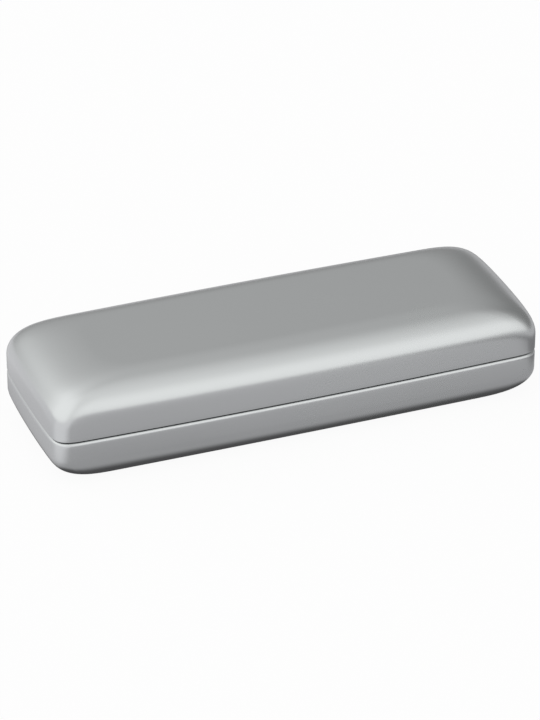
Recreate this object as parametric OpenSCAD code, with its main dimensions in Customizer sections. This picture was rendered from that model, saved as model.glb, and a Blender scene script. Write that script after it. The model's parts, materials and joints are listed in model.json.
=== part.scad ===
// Slim metal clamshell case that holds one row of colored pencils.
// X runs along the case, -Y is the side that opens, +Y carries the hinge and +Z is up.
// The origin is the middle of the flat bottom that the case rests on. Sizes are millimetres.

/* [Pencils] */
// Length of one pencil with its point
pencil_l = 175; // [150:1:190]
// Width across the flats of the hexagonal casing
pencil_flats = 6.7; // [6:0.1:8]
// Free space between the flats of two neighbouring pencils
pencil_gap = 0.35; // [0.3:0.05:2]
// Diameter of the colored core
core_d = 3.3; // [2.5:0.1:4]
// Half angle of the sharpened point in degrees
point_angle = 10.5; // [9:0.5:14]
// Diameter of the blunted tip
tip_d = 0.8; // [0.4:0.1:1.4]
// Depth of a pencil's axis below the seam
pencil_sink = 3.2; // [2.6:0.1:4]

/* [Case] */
// Height of the seam above the bottom
base_h = 19.85; // [19:0.05:28]
// Height of the lid above the seam
lid_h = 21.35; // [19:0.05:30]
// Radius of the four corners, seen from above
corner_r = 7.6; // [6:0.1:9.5]
// How far the long sides bulge outwards
side_bow = 1.35; // [0.6:0.05:2]
// How far the short ends bulge outwards
end_bow = 0.8; // [0.3:0.05:1.5]

/* [Lid shape] */
// Height of the lid's upright wall
lid_wall_h = 8.45; // [7:0.05:10]
// Distance from the case's end to the lid's flat top
lid_end_inset = 25.8; // [18:0.1:34]
// Distance from the case's side to the lid's flat top
lid_side_inset = 14.4; // [11:0.1:17]
// Share by which the corner radius grows towards the flat top
lid_corner_spread = 0.8; // [0:0.05:1]
// Share of the long sides' bulge that is lost towards the flat top
lid_bow_loss = 0.5; // [0:0.05:0.95]

/* [Base shape] */
// Height of the base's upright wall
base_wall_h = 8.2; // [7.2:0.05:9]
// Distance from the case's end to the flat bottom
base_end_inset = 21; // [14:0.1:30]
// Distance from the case's side to the flat bottom
base_side_inset = 9.8; // [7:0.1:14]
// Share by which the corner radius grows towards the flat bottom
base_corner_spread = 0.3; // [0:0.05:0.6]
// Share of the long sides' bulge that is lost towards the flat bottom
base_bow_loss = 0.95; // [0:0.05:0.95]

/* [Sheet metal] */
// Thickness of the aluminium sheet
sheet_t = 0.8; // [0.6:0.05:1]
// Height of the folded hem behind each rim
hem_h = 5.8; // [5.6:0.1:6.4]
// Radius of the rim's rounded edges
edge_r = 0.5; // [0.3:0.05:0.55]
// Gap between the rims of the closed case
seam_gap = 0.6; // [0.4:0.05:0.8]

/* [Lining] */
// Thickness of the moulded plastic lining
liner_t = 0.8; // [0.6:0.05:1.2]
// Clearance between the hem and the lining, at the front and the ends
liner_gap = 0.5; // [0.35:0.05:0.9]
// Height of the locating lip above the seam
lip_h = 1.6; // [1.2:0.1:2.4]
// Clearance between the lip and the lid's lining above it
lip_clearance = 0.5; // [0.4:0.1:1]
// Thickness of the foam pad under the lid
pad_t = 2.5; // [1.5:0.1:4]
// Border left bare around the pad
pad_border = 3; // [2:0.5:8]

/* [Pencil bed] */
// Clearance around a pencil in its groove
groove_clearance = 0.28; // [0.25:0.01:0.5]
// Free length beyond each end of a pencil
groove_end_gap = 1; // [0.5:0.1:3]
// Foam left beyond the ends of the grooves
bed_end_wall = 8.4; // [5:0.1:14]
// Foam left beside the outermost grooves
bed_side_wall = 2.55; // [2:0.05:6]
// Clearance between the foam and the lining
bed_clearance = 0.2; // [0.15:0.05:0.4]
// Height of the pencils' axes above the foam's top
axis_above_bed = 0.45; // [0.3:0.05:1]
// Radius of the finger trough
trough_r = 14; // [11:0.5:18]
// Depth of the finger trough below the foam's top
trough_depth = 9; // [7:0.5:10]

/* [Hinge] */
// Length of the hinge
hinge_l = 110; // [104:1:124]
// Outer radius of the knuckles
barrel_r = 1.6; // [1.5:0.05:1.8]
// Radius of the hinge pin
pin_r = 0.8; // [0.7:0.05:0.9]
// Radial play of the pin in the lid's knuckles
pin_play = 0.05; // [0.03:0.01:0.09]
// Gap between neighbours along the pin
knuckle_gap = 0.2; // [0.1:0.05:0.4]
// Clearance between the barrel and the case's rear wall
barrel_clearance = 0.3; // [0.25:0.05:0.6]
// Thickness of the hinge leaves
leaf_t = 0.5; // [0.4:0.05:0.6]
// Height of the hinge leaves behind the rims
leaf_h = 5.5; // [5.3:0.1:5.6]
// Gap from the seam to each leaf
leaf_gap = 0.1; // [0.08:0.01:0.12]
// Length of the middle knuckle
middle_knuckle_l = 30; // [26:1:34]
// Length of each lid knuckle
lid_knuckle_l = 17; // [14:1:18]

/* [Springs] */
// Length of each spring along the pin
spring_l = 12; // [10:0.5:13]
// Radius of the spring wire
wire_r = 0.3; // [0.2:0.02:0.32]
// Clearance between the spring and the pin
spring_play = 0.15; // [0.12:0.01:0.2]
// Turns of each spring
spring_turns = 6; // [4:1:7]
// Length of the spring's straight legs
spring_leg_l = 5.5; // [4:0.1:6]

/* [Rivets] */
// Distance of the outer rivets from the middle one
rivet_x = 40; // [34:1:44]
// Distance of the rivets from the seam
rivet_drop = 3.4; // [3.3:0.05:3.6]
// Radius of the rivet shanks
rivet_r = 1; // [0.8:0.05:1.1]
// Radius of the rivet heads
rivet_head_r = 1.8; // [1.5:0.05:1.8]
// Thickness of the rivet heads
rivet_head_t = 0.5; // [0.3:0.05:0.5]

/* [Hidden] */
// Colors of the eight pencils, in the order in which they lie from front to back
PENCIL_COLORS = ["saddlebrown", "red", "darkorange", "gold", "limegreen", "deepskyblue", "mediumblue", "purple"];
pencil_count = len(PENCIL_COLORS);
PENCIL_NODES = [for (i = [1:pencil_count]) each [str("pencil_", i, "_casing"), str("pencil_", i, "_core")]];
CASE_NODES = [
    "base_shell", "base_liner", "pencil_bed", "base_hinge_leaf", "hinge_pin", "base_rivets",
    "spring_left", "spring_right", "lid_shell", "lid_liner", "lid_pad", "lid_hinge_leaf", "lid_rivets"
];

$fn = 48;
// Segments of a long side, a short end, a corner and a turned edge
side_segments = 10;
end_segments = 4;
corner_segments = 7;
turn_segments = 8;
edge_segments = 3;
// Overshoot of a cut beyond the faces it opens
cut = 1;

// Fits of fixed pieces: pin in the gripping knuckles, core in its casing, rivet in its hole
grip_play = 0.02;
// Gap between the hem and the nearest point of a hinge leaf
leaf_seat = 0.05;

hem_w = 2 * sheet_t;
RIVET_PLACES = [-rivet_x, 0, rivet_x];
rivet_tail_r = rivet_head_r - 0.3;
tail_clearance = 0.3;

// Pencils and grooves
pencil_circle_r = pencil_flats / 2 / cos(30);
pencil_pitch = pencil_flats + pencil_gap;
pencil_row = (pencil_count - 1) * pencil_pitch;
pencil_z = base_h - pencil_sink;
groove_r = pencil_circle_r + groove_clearance;
groove_l = pencil_l + 2 * groove_end_gap;
core_r = core_d / 2;
// Thickness of the wood where the casing ends at the exposed core
wood_edge_t = 0.15;

// Insets of the lining's outside at the ends and the front
liner_inset = hem_w + liner_gap;

// Outer length, and the arc that the outside makes along a long side
case_l = pencil_l + 2 * (groove_end_gap + bed_end_wall + bed_clearance + liner_t + liner_inset);
corner_x = case_l / 2 - end_bow - corner_r;
side_arc_r = tangent_arc_r(corner_x, corner_r, side_bow);

// The hinge leaves are straight, so they stand off the bowed rim by its drop at the leaf's ends
leaf_inset = hem_w + side_drop(hinge_l / 2) + leaf_seat;
back_inset = leaf_inset + leaf_t + rivet_head_t + tail_clearance;
bed_w = pencil_row + 2 * (groove_r + bed_side_wall);
case_w = bed_w + 2 * (bed_clearance + liner_t) + liner_inset + back_inset;
row_y = (liner_inset - back_inset) / 2;

// Insets of each surface at the ends, the front and the back
outside = [0, 0, 0];
sheet_inside = [sheet_t, sheet_t, sheet_t];
liner_outside = [liner_inset, liner_inset, back_inset];
liner_inside = [for (d = liner_outside) d + liner_t];
bed_outside = [for (d = liner_inside) d + bed_clearance];

// Form of each half: insets of its flat face, growth of its corner radius and loss of its bulge
lid_form = [[lid_end_inset, lid_side_inset, lid_side_inset], lid_corner_spread, lid_bow_loss];
base_form = [[base_end_inset, base_side_inset, base_side_inset], base_corner_spread, base_bow_loss];

// Heights
base_turn_z = base_h - base_wall_h;
base_rim_z = base_h - seam_gap / 2;
lid_rim_z = base_h + seam_gap / 2;
lid_turn_z = base_h + lid_wall_h;
top_z = base_h + lid_h;
ceiling_z = top_z - sheet_t - liner_t;
bed_floor_z = sheet_t + liner_t;
bed_top_z = pencil_z - axis_above_bed;
lip_top_z = base_h + lip_h;
lid_liner_edge_z = lip_top_z + lip_clearance;

// Hinge: its axis lies in the plane of the seam, behind the rear wall
hinge_y = case_w / 2 + barrel_clearance + barrel_r;
leaf_y = case_w / 2 - leaf_inset;
spring_start = middle_knuckle_l / 2 + knuckle_gap;
lid_knuckle_start = spring_start + spring_l + knuckle_gap;
end_knuckle_start = lid_knuckle_start + lid_knuckle_l + knuckle_gap;
end_knuckle_l = hinge_l / 2 - end_knuckle_start;
pin_head_r = pin_r + 0.5;
pin_head_t = 0.5;
coil_r = pin_r + spring_play + wire_r;
// Start and length of each knuckle along X
base_knuckles = [
    [-hinge_l / 2, end_knuckle_l],
    [-middle_knuckle_l / 2, middle_knuckle_l],
    [end_knuckle_start, end_knuckle_l]
];
lid_knuckles = [[-lid_knuckle_start - lid_knuckle_l, lid_knuckle_l], [lid_knuckle_start, lid_knuckle_l]];
// Side of the seam that a leaf or a rivet row lies on
BELOW = -1;
ABOVE = 1;

// ---- Outline of the case at one level ----

// Radius of the arc that touches two corner circles of radius r, whose middles lie c to each side,
// and stands bow beyond them
function tangent_arc_r(c, r, bow) = (c * c + 2 * r * bow + bow * bow) / (2 * bow);

// How far the rear wall's outside lies in front of its middle, at the distance x from the middle
function side_drop(x) = side_arc_r - sqrt(side_arc_r * side_arc_r - x * x);

function arc(x, y, z, r, from, to, segments) = [
    for (k = [0:segments - 1])
        let (a = from + (to - from) * k / segments)
        [x + r * cos(a), y + r * sin(a), z]
];

// Closed outline of eight tangent arcs, anticlockwise from above, with its middle at y.
// hx and hy are the half sizes that the corner circles reach, and bow is the long sides' bulge.
function outline(hx, hy, r, bow, y, z) =
    let (cx = hx - r, cy = hy - r)
    let (side = tangent_arc_r(cx, r, bow), end = tangent_arc_r(cy, r, end_bow))
    let (sa = asin(cx / (side - r)), ea = asin(cy / (end - r)))
    let (sy = hy + bow - side, ex = hx + end_bow - end)
    concat(
        arc(0, y - sy, z, side, 270 - sa, 270 + sa, side_segments),
        arc(cx, y - cy, z, r, 270 + sa, 360 - ea, corner_segments),
        arc(ex, y, z, end, -ea, ea, end_segments),
        arc(cx, y + cy, z, r, ea, 90 - sa, corner_segments),
        arc(0, y + sy, z, side, 90 - sa, 90 + sa, side_segments),
        arc(-cx, y + cy, z, r, 90 + sa, 180 - ea, corner_segments),
        arc(-ex, y, z, end, 180 - ea, 180 + ea, end_segments),
        arc(-cx, y - cy, z, r, 180 + ea, 270 - sa, corner_segments)
    );

// One level of a surface, from its insets at the ends, the front and the back
function level(inset, r, bow, z) = outline(
    case_l / 2 - end_bow - inset[0],
    case_w / 2 - side_bow - (inset[1] + inset[2]) / 2,
    r,
    bow,
    (inset[1] - inset[2]) / 2,
    z
);

function wall_level(inset, z) = level(inset, corner_r - inset[0], side_bow, z);

// Quarter-elliptic turn from a flat face at flat_z to the wall that starts at wall_z
function turn(form, wall, flat_z, wall_z) = [
    for (k = [0:turn_segments])
        let (a = 90 * (1 - k / turn_segments), flat = form[0])
        level(
            [for (i = [0:2]) flat[i] - (flat[i] - wall[i]) * cos(a)],
            corner_r * (1 + form[1] * (1 - cos(a))) - wall[0] * cos(a),
            side_bow * (1 - form[2] * sin(a) * sin(a)),
            wall_z + (flat_z - wall_z) * sin(a)
        )
];

// Rounded rim with its hem, from the outside to the inside. The wall runs away from rim_z along dir.
function rim(rim_z, dir) = concat(
    [
        for (k = [0:edge_segments])
            let (a = 90 * k / edge_segments)
            let (d = edge_r * (1 - cos(a)))
            wall_level([d, d, d], rim_z + dir * edge_r * (1 - sin(a)))
    ],
    [
        for (k = [0:edge_segments])
            let (a = 90 * (1 - k / edge_segments))
            let (d = hem_w - edge_r * (1 - cos(a)))
            wall_level([d, d, d], rim_z + dir * edge_r * (1 - sin(a)))
    ],
    [
        wall_level([hem_w, hem_w, hem_w], rim_z + dir * hem_h),
        wall_level(sheet_inside, rim_z + dir * (hem_h + sheet_t / 2))
    ]
);

function reversed(list) = [for (i = [len(list) - 1:-1:0]) list[i]];

// ---- Solids made of levels ----

// Closed solid through levels that all have as many points. The first and last are its end faces.
module lofted(levels) {
    n = len(levels[0]);
    last = (len(levels) - 1) * n;
    bands = [
        for (j = [0:len(levels) - 2], i = [0:n - 1])
            let (a = j * n + i, b = j * n + (i + 1) % n)
            each [[a, a + n, b + n], [a, b + n, b]]
    ];
    first_face = [for (i = [0:n - 1]) i];
    last_face = [for (i = [n - 1:-1:0]) last + i];
    polyhedron(points = [for (l = levels) each l], faces = concat([first_face], bands, [last_face]));
}

// Notches where the leaf's tongues cross a rim, on one side of the seam
module tongue_notches(knuckles, side) {
    depth = leaf_gap + leaf_t + leaf_gap;
    z = side == BELOW ? base_h - depth : base_h + depth - cut;
    for (k = knuckles)
        translate([k[0] - knuckle_gap / 2, leaf_y, z])
            cube([k[1] + knuckle_gap, leaf_inset + cut, cut]);
}

// Children built along +Z point backwards from the leaf's inner face at the rivet place x
module at_rivet(x, side) {
    translate([x, leaf_y - leaf_t, base_h + side * rivet_drop])
        rotate([-90, 0, 0])
            children();
}

module rivet_holes(side) {
    for (x = RIVET_PLACES)
        at_rivet(x, side)
            translate([0, 0, -cut])
                cylinder(r = rivet_r + grip_play, h = leaf_inset + leaf_t + 2 * cut);
}

// ---- Case, base side ----

module base_shell() {
    color("silver")
        difference() {
            lofted(concat(
                turn(base_form, outside, 0, base_turn_z),
                rim(base_rim_z, BELOW),
                reversed(turn(base_form, sheet_inside, sheet_t, base_turn_z))
            ));
            tongue_notches(base_knuckles, BELOW);
            rivet_holes(BELOW);
        }
}

module base_liner() {
    color("dimgray")
        lofted(concat(
            turn(base_form, liner_outside, sheet_t, base_turn_z),
            [wall_level(liner_outside, lip_top_z)],
            [wall_level(liner_inside, lip_top_z)],
            reversed(turn(base_form, liner_inside, bed_floor_z, base_turn_z))
        ));
}

module pencil_bed() {
    color([0.16, 0.16, 0.17])
        difference() {
            lofted(concat(
                turn(base_form, bed_outside, bed_floor_z, base_turn_z),
                [wall_level(bed_outside, bed_top_z)]
            ));
            for (i = [0:pencil_count - 1])
                translate([-groove_l / 2, pencil_y(i), pencil_z])
                    rotate([0, 90, 0])
                        cylinder(r = groove_r, h = groove_l);
            translate([0, -case_w / 2, bed_top_z - trough_depth + trough_r])
                rotate([-90, 0, 0])
                    cylinder(r = trough_r, h = case_w, $fn = 96);
        }
}

// ---- Case, lid side ----

module lid_shell() {
    color("silver")
        difference() {
            lofted(concat(
                turn(lid_form, sheet_inside, top_z - sheet_t, lid_turn_z),
                reversed(rim(lid_rim_z, ABOVE)),
                reversed(turn(lid_form, outside, top_z, lid_turn_z))
            ));
            tongue_notches(lid_knuckles, ABOVE);
            rivet_holes(ABOVE);
        }
}

module lid_liner() {
    color("dimgray")
        lofted(concat(
            turn(lid_form, liner_inside, ceiling_z, lid_turn_z),
            [wall_level(liner_inside, lid_liner_edge_z)],
            [wall_level(liner_outside, lid_liner_edge_z)],
            reversed(turn(lid_form, liner_outside, top_z - sheet_t, lid_turn_z))
        ));
}

module lid_pad() {
    l = case_l - 2 * (end_bow + lid_end_inset + pad_border);
    w = case_w - 2 * (side_bow + lid_side_inset + pad_border);
    r = corner_r * (1 + lid_corner_spread) - pad_border;
    color([0.16, 0.16, 0.17])
        translate([0, 0, ceiling_z - pad_t])
            linear_extrude(pad_t)
                rounded_rectangle(l, w, r);
}

module rounded_rectangle(l, w, r) {
    square([l - 2 * r, w], center = true);
    square([l, w - 2 * r], center = true);
    for (x = [-1, 1], y = [-1, 1])
        translate([x * (l / 2 - r), y * (w / 2 - r)])
            circle(r);
}

// ---- Hinge ----

// Steel leaf behind a rim, with tongues across the rim and knuckles around the pin
module hinge_leaf(knuckles, side, bore_r) {
    plate_z = side == BELOW ? base_h - leaf_gap - leaf_h : base_h + leaf_gap;
    tongue_z = side == BELOW ? base_h - leaf_gap - leaf_t : base_h + leaf_gap;
    tongue_end = hinge_y - (barrel_r + bore_r) / 2;
    color("gainsboro")
        difference() {
            union() {
                translate([-hinge_l / 2, leaf_y - leaf_t, plate_z])
                    cube([hinge_l, leaf_t, leaf_h]);
                for (k = knuckles) {
                    translate([k[0], leaf_y - leaf_t, tongue_z])
                        cube([k[1], tongue_end - leaf_y + leaf_t, leaf_t]);
                    knuckle(k[0], k[1], bore_r);
                }
            }
            rivet_holes(side);
        }
}

module knuckle(x, l, bore_r) {
    on_hinge_axis(x)
        difference() {
            cylinder(r = barrel_r, h = l);
            translate([0, 0, -cut])
                cylinder(r = bore_r, h = l + 2 * cut);
        }
}

// Children built along +Z lie along the hinge axis and start at x
module on_hinge_axis(x) {
    translate([x, hinge_y, base_h])
        rotate([0, 90, 0])
            children();
}

module base_hinge_leaf() {
    hinge_leaf(base_knuckles, BELOW, pin_r + grip_play);
}

module lid_hinge_leaf() {
    hinge_leaf(lid_knuckles, ABOVE, pin_r + pin_play);
}

module hinge_pin() {
    color("gray")
        on_hinge_axis(-hinge_l / 2)
            rotate_extrude()
                polygon([
                    [0, -pin_head_t],
                    [pin_head_r - pin_head_t / 2, -pin_head_t],
                    [pin_head_r, -pin_head_t / 2],
                    [pin_head_r, 0],
                    [pin_r, 0],
                    [pin_r, hinge_l],
                    [pin_head_r, hinge_l],
                    [pin_head_r, hinge_l + pin_head_t / 2],
                    [pin_head_r - pin_head_t / 2, hinge_l + pin_head_t],
                    [0, hinge_l + pin_head_t]
                ]);
}

module rivets(side) {
    color("silver")
        for (x = RIVET_PLACES)
            at_rivet(x, side)
                rivet(leaf_inset + leaf_t - side_drop(x) + grip_play);
}

// Flat tail inside, shank through the leaf and the rim, domed head outside
module rivet(grip) {
    rotate_extrude()
        polygon([
            [0, -rivet_head_t],
            [rivet_tail_r, -rivet_head_t],
            [rivet_tail_r, 0],
            [rivet_r, 0],
            [rivet_r, grip],
            [rivet_head_r, grip],
            [rivet_head_r, grip + rivet_head_t / 2],
            [rivet_head_r * 0.7, grip + rivet_head_t * 0.9],
            [0, grip + rivet_head_t]
        ]);
}

module base_rivets() {
    rivets(BELOW);
}

module lid_rivets() {
    rivets(ABOVE);
}

// ---- Springs ----

// Coil around the hinge pin. One leg hangs down the base's rear wall and the other stands up
// against the lid's, so opening the lid winds the coil up.
module torsion_spring(x) {
    ring_sides = 6;
    rings_per_turn = 12;
    ring_count = spring_turns * rings_per_turn;
    coil_start = x + wire_r;
    coil_l = spring_l - 2 * wire_r;
    first = wire_ring(coil_start, 0, -spring_leg_l, ring_sides);
    coil = [
        for (k = [0:ring_count])
            wire_ring(coil_start + coil_l * k / ring_count, 360 * k / rings_per_turn, 0, ring_sides)
    ];
    last = wire_ring(coil_start + coil_l, 0, spring_leg_l, ring_sides);
    color("lightgray")
        lofted(concat([first], coil, [last]));
}

// Section of the wire at an angle around the hinge axis, moved up by rise
function wire_ring(x, angle, rise, sides) = [
    for (k = [0:sides - 1])
        let (a = 360 * k / sides)
        let (r = coil_r + wire_r * cos(a))
        [x + wire_r * sin(a), hinge_y - r * cos(angle), base_h + r * sin(angle) + rise]
];

module spring_left() {
    torsion_spring(-spring_start - spring_l);
}

module spring_right() {
    torsion_spring(spring_start);
}

// ---- Pencils ----

function pencil_y(i) = row_y - pencil_row / 2 + i * pencil_pitch;

// Children built along +Z lie in groove i, with +Z towards the sharpened point
module in_groove(i) {
    translate([-pencil_l / 2, pencil_y(i), pencil_z])
        rotate([0, 90, 0])
            children();
}

// The cone that the sharpener cuts, with its blunted tip at the pencil's end
module point_cone() {
    cylinder(r1 = tip_d / 2 + pencil_l * tan(point_angle), r2 = tip_d / 2, h = pencil_l);
}

module pencil_casing(i) {
    wood_l = pencil_l - (core_r + wood_edge_t - tip_d / 2) / tan(point_angle);
    color(PENCIL_COLORS[i])
        in_groove(i)
            difference() {
                intersection() {
                    cylinder(r = pencil_circle_r, h = wood_l, $fn = 6);
                    point_cone();
                }
                translate([0, 0, -cut])
                    cylinder(r = core_r, h = pencil_l + 2 * cut);
            }
}

module pencil_core(i) {
    color(PENCIL_COLORS[i])
        in_groove(i)
            intersection() {
                cylinder(r = core_r - grip_play, h = pencil_l);
                point_cone();
            }
}

base_shell();
base_liner();
pencil_bed();
base_hinge_leaf();
hinge_pin();
base_rivets();
spring_left();
spring_right();
lid_shell();
lid_liner();
lid_pad();
lid_hinge_leaf();
lid_rivets();
for (i = [0:pencil_count - 1]) {
    pencil_casing(i);
    pencil_core(i);
}
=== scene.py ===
"""Looks of a slim metal clamshell tin with eight colored pencils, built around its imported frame.

The axes are the frame's: X runs along the case, -Y is the side that opens, +Y carries the
hinge and +Z is up. Lengths are millimetres in the code and metres in every finished mesh.
"""

import json
import logging
import math
from dataclasses import dataclass, field, replace
from enum import Enum, IntEnum
from typing import Any, Mapping, Optional, Sequence, Union

import bmesh
import bpy
import numpy as np
from mathutils import Matrix, Vector


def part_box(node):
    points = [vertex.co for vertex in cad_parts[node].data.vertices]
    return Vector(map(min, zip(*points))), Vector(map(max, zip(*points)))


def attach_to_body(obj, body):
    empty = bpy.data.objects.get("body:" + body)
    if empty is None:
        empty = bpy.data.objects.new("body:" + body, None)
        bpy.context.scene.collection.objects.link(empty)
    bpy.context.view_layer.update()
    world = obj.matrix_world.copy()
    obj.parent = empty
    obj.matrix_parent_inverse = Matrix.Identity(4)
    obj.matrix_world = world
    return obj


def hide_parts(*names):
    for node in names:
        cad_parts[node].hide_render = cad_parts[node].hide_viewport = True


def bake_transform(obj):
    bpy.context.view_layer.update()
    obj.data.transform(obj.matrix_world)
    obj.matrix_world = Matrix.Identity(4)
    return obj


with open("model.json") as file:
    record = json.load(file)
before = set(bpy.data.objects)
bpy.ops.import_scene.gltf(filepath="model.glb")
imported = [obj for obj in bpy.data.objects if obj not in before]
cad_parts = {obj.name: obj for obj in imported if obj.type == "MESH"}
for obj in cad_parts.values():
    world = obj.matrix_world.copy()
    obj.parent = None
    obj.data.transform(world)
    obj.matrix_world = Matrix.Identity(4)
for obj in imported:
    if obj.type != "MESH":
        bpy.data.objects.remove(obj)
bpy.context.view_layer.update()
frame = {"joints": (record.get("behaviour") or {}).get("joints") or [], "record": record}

Array = np.ndarray
Color = tuple[float, float, float]

MM = 0.001
TURN = 2 * math.pi
LOG = logging.getLogger("pencil_tin")


class Side(IntEnum):
    """Side of the seam that a piece lies on, as the sign of its direction along Z."""

    BELOW = -1
    ABOVE = 1


class Body(str, Enum):
    """Moving bodies of the case itself. Each pencil is a body of its own."""

    BASE = "base"
    LID = "lid"


# ---- Shader graphs ----


class Signal:
    """Output of a shader node. Arithmetic on it adds Math nodes to the same graph."""

    def __init__(self, graph: "Graph", socket: bpy.types.NodeSocket) -> None:
        """Wraps an output socket.

        Args:
            graph: The graph that gets the Math nodes.
            socket: The output socket to read.
        """
        self.graph = graph
        self.socket = socket

    def math(self, operation: str, *operands: "Operand", clamp: bool = False) -> "Signal":
        """Adds one Math node.

        Args:
            operation: Name of the Math node's operation.
            operands: Signals or numbers for its inputs.
            clamp: Whether the result is kept between 0 and 1.

        Returns:
            The node's output.
        """
        settings = {"operation": operation, "use_clamp": clamp}
        return self.graph.node("ShaderNodeMath", settings, dict(enumerate(operands)))

    def __add__(self, other: "Operand") -> "Signal":
        """Sum."""
        return self.math("ADD", self, other)

    __radd__ = __add__

    def __sub__(self, other: "Operand") -> "Signal":
        """Difference."""
        return self.math("SUBTRACT", self, other)

    def __rsub__(self, other: "Operand") -> "Signal":
        """Difference from a number."""
        return self.math("SUBTRACT", other, self)

    def __mul__(self, other: "Operand") -> "Signal":
        """Product."""
        return self.math("MULTIPLY", self, other)

    __rmul__ = __mul__

    def __truediv__(self, other: "Operand") -> "Signal":
        """Quotient."""
        return self.math("DIVIDE", self, other)

    def __rtruediv__(self, other: "Operand") -> "Signal":
        """Quotient of a number."""
        return self.math("DIVIDE", other, self)

    def __pow__(self, other: "Operand") -> "Signal":
        """Power."""
        return self.math("POWER", self, other)

    def clamped(self) -> "Signal":
        """The same value, kept between 0 and 1."""
        return self.math("ADD", self, 0.0, clamp=True)

    def magnitude(self) -> "Signal":
        """The value without its sign."""
        return self.math("ABSOLUTE", self)

    def at_least(self, low: float) -> "Signal":
        """The larger of this value and a number."""
        return self.math("MAXIMUM", self, low)

    def smooth(self, low: float, high: float) -> "Signal":
        """Smooth step from 0 at low to 1 at high.

        Args:
            low: Value at which the step starts.
            high: Value at which it ends.

        Returns:
            The stepped value.
        """
        settings = {"interpolation_type": "SMOOTHSTEP"}
        links = {"Value": self, "From Min": low, "From Max": high, "To Min": 0.0, "To Max": 1.0}
        return self.graph.node("ShaderNodeMapRange", settings, links)


Operand = Union[Signal, float]


class Graph:
    """Node tree of a material or the world, built node by node."""

    def __init__(self, tree: bpy.types.NodeTree) -> None:
        """Takes over a tree and empties it."""
        self.tree = tree
        tree.nodes.clear()

    def node(
        self,
        kind: str,
        settings: Optional[Mapping[str, Any]] = None,
        links: Optional[Mapping[Union[int, str], Any]] = None,
        output: Union[int, str] = 0,
    ) -> Signal:
        """Adds a node, sets it, then fills its inputs.

        Args:
            kind: Type of the node.
            settings: Properties of the node; "stops" are the (place, color) pairs of a ramp.
            links: Signals or values, by the name or number of the input.
            output: Name or number of the output that is returned.

        Returns:
            The chosen output.
        """
        made = self.tree.nodes.new(kind)
        for key, value in (settings or {}).items():
            if key == "stops":
                fill_ramp(made.color_ramp, value)
            else:
                setattr(made, key, value)
        for key, value in (links or {}).items():
            if isinstance(value, Signal):
                self.tree.links.new(value.socket, made.inputs[key])
            else:
                made.inputs[key].default_value = value
        outputs = made.outputs
        return Signal(self, outputs[output]) if len(outputs) else Signal(self, made.inputs[0])

    def coordinates(self, scale: Sequence[float] = (1, 1, 1)) -> Signal:
        """Object coordinates, stretched by a factor along each axis."""
        place = self.node("ShaderNodeTexCoord", output="Object")
        return self.node("ShaderNodeVectorMath", {"operation": "MULTIPLY"}, {0: place, 1: tuple(scale)})

    def noise(self, place: Signal, scale: float, detail: float = 2.0, roughness: float = 0.5) -> Signal:
        """Noise around 0.5 at a place, with scale cells to the metre."""
        links = {"Vector": place, "Scale": scale, "Detail": detail, "Roughness": roughness}
        return self.node("ShaderNodeTexNoise", {}, links)

    def ramp(self, factor: Signal, *stops: tuple[float, Color]) -> Signal:
        """Color ramp through the given stops."""
        return self.node("ShaderNodeValToRGB", {"stops": stops}, {"Fac": factor})

    def mix(self, factor: Operand, first: Any, second: Any) -> Signal:
        """Mixes two colors.

        Args:
            factor: Share of the second color.
            first: First color, a signal or three numbers.
            second: Second color, likewise.

        Returns:
            The mixed color.
        """
        colors = [c if isinstance(c, Signal) else (*c, 1.0) for c in (first, second)]
        links = {0: factor, 6: colors[0], 7: colors[1]}
        return self.node("ShaderNodeMix", {"data_type": "RGBA"}, links, 2)

    def scaled(self, vector: Any, factor: Signal) -> Signal:
        """A place or a color, a signal or three numbers, times a factor."""
        base = vector if isinstance(vector, Signal) else tuple(vector)
        return self.node("ShaderNodeVectorMath", {"operation": "SCALE"}, {0: base, "Scale": factor})

    def bump(
        self, height: Signal, depth: float, strength: float = 1.0, under: Optional[Signal] = None
    ) -> Signal:
        """Normal bent by a height from 0 to 1.

        Args:
            height: Height pattern.
            depth: What a height of 1 stands for, in millimetres.
            strength: Share of the bending.
            under: Normal that is bent further.

        Returns:
            The bent normal.
        """
        links = {"Height": height, "Distance": depth * MM, "Strength": strength}
        if under is not None:
            links["Normal"] = under
        return self.node("ShaderNodeBump", {}, links)


def fill_ramp(ramp: bpy.types.ColorRamp, stops: Sequence[tuple[float, Color]]) -> None:
    """Gives a color ramp its stops.

    Args:
        ramp: The ramp of a new node.
        stops: Place and color of each stop.
    """
    while len(ramp.elements) < len(stops):
        ramp.elements.new(0.5)
    for element, (place, color) in zip(ramp.elements, stops):
        element.position = place
        element.color = (*color, 1.0)


# ---- Finishes ----

Paint = tuple[Mapping[str, float], Mapping[str, Signal]]


def slot_color(slot: str) -> Color:
    """Base color that the record gives to a material slot."""
    rows = {row["slot"]: row for row in frame["record"]["materials"]}
    return tuple(rows[slot]["base_color"])


@dataclass(frozen=True)
class Finish:
    """Surface finish. A finish of its own kind fills in paint()."""

    name: str
    slot: str

    def paint(self, graph: Graph) -> Paint:
        """Describes the finish.

        Args:
            graph: Graph that gets the pattern's nodes.

        Returns:
            The shader's constant sockets and its varying ones, by name.
        """
        raise NotImplementedError

    def material(self) -> bpy.types.Material:
        """Makes the material, once for each name.

        Returns:
            The material.
        """
        known = bpy.data.materials.get(self.name)
        if known is not None:
            return known
        made = bpy.data.materials.new(self.name)
        made.use_nodes = True
        graph = Graph(made.node_tree)
        constants, varying = self.paint(graph)
        shader = graph.node("ShaderNodeBsdfPrincipled", {}, {**constants, **varying})
        graph.node("ShaderNodeOutputMaterial", {}, {"Surface": shader})
        return made


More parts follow.
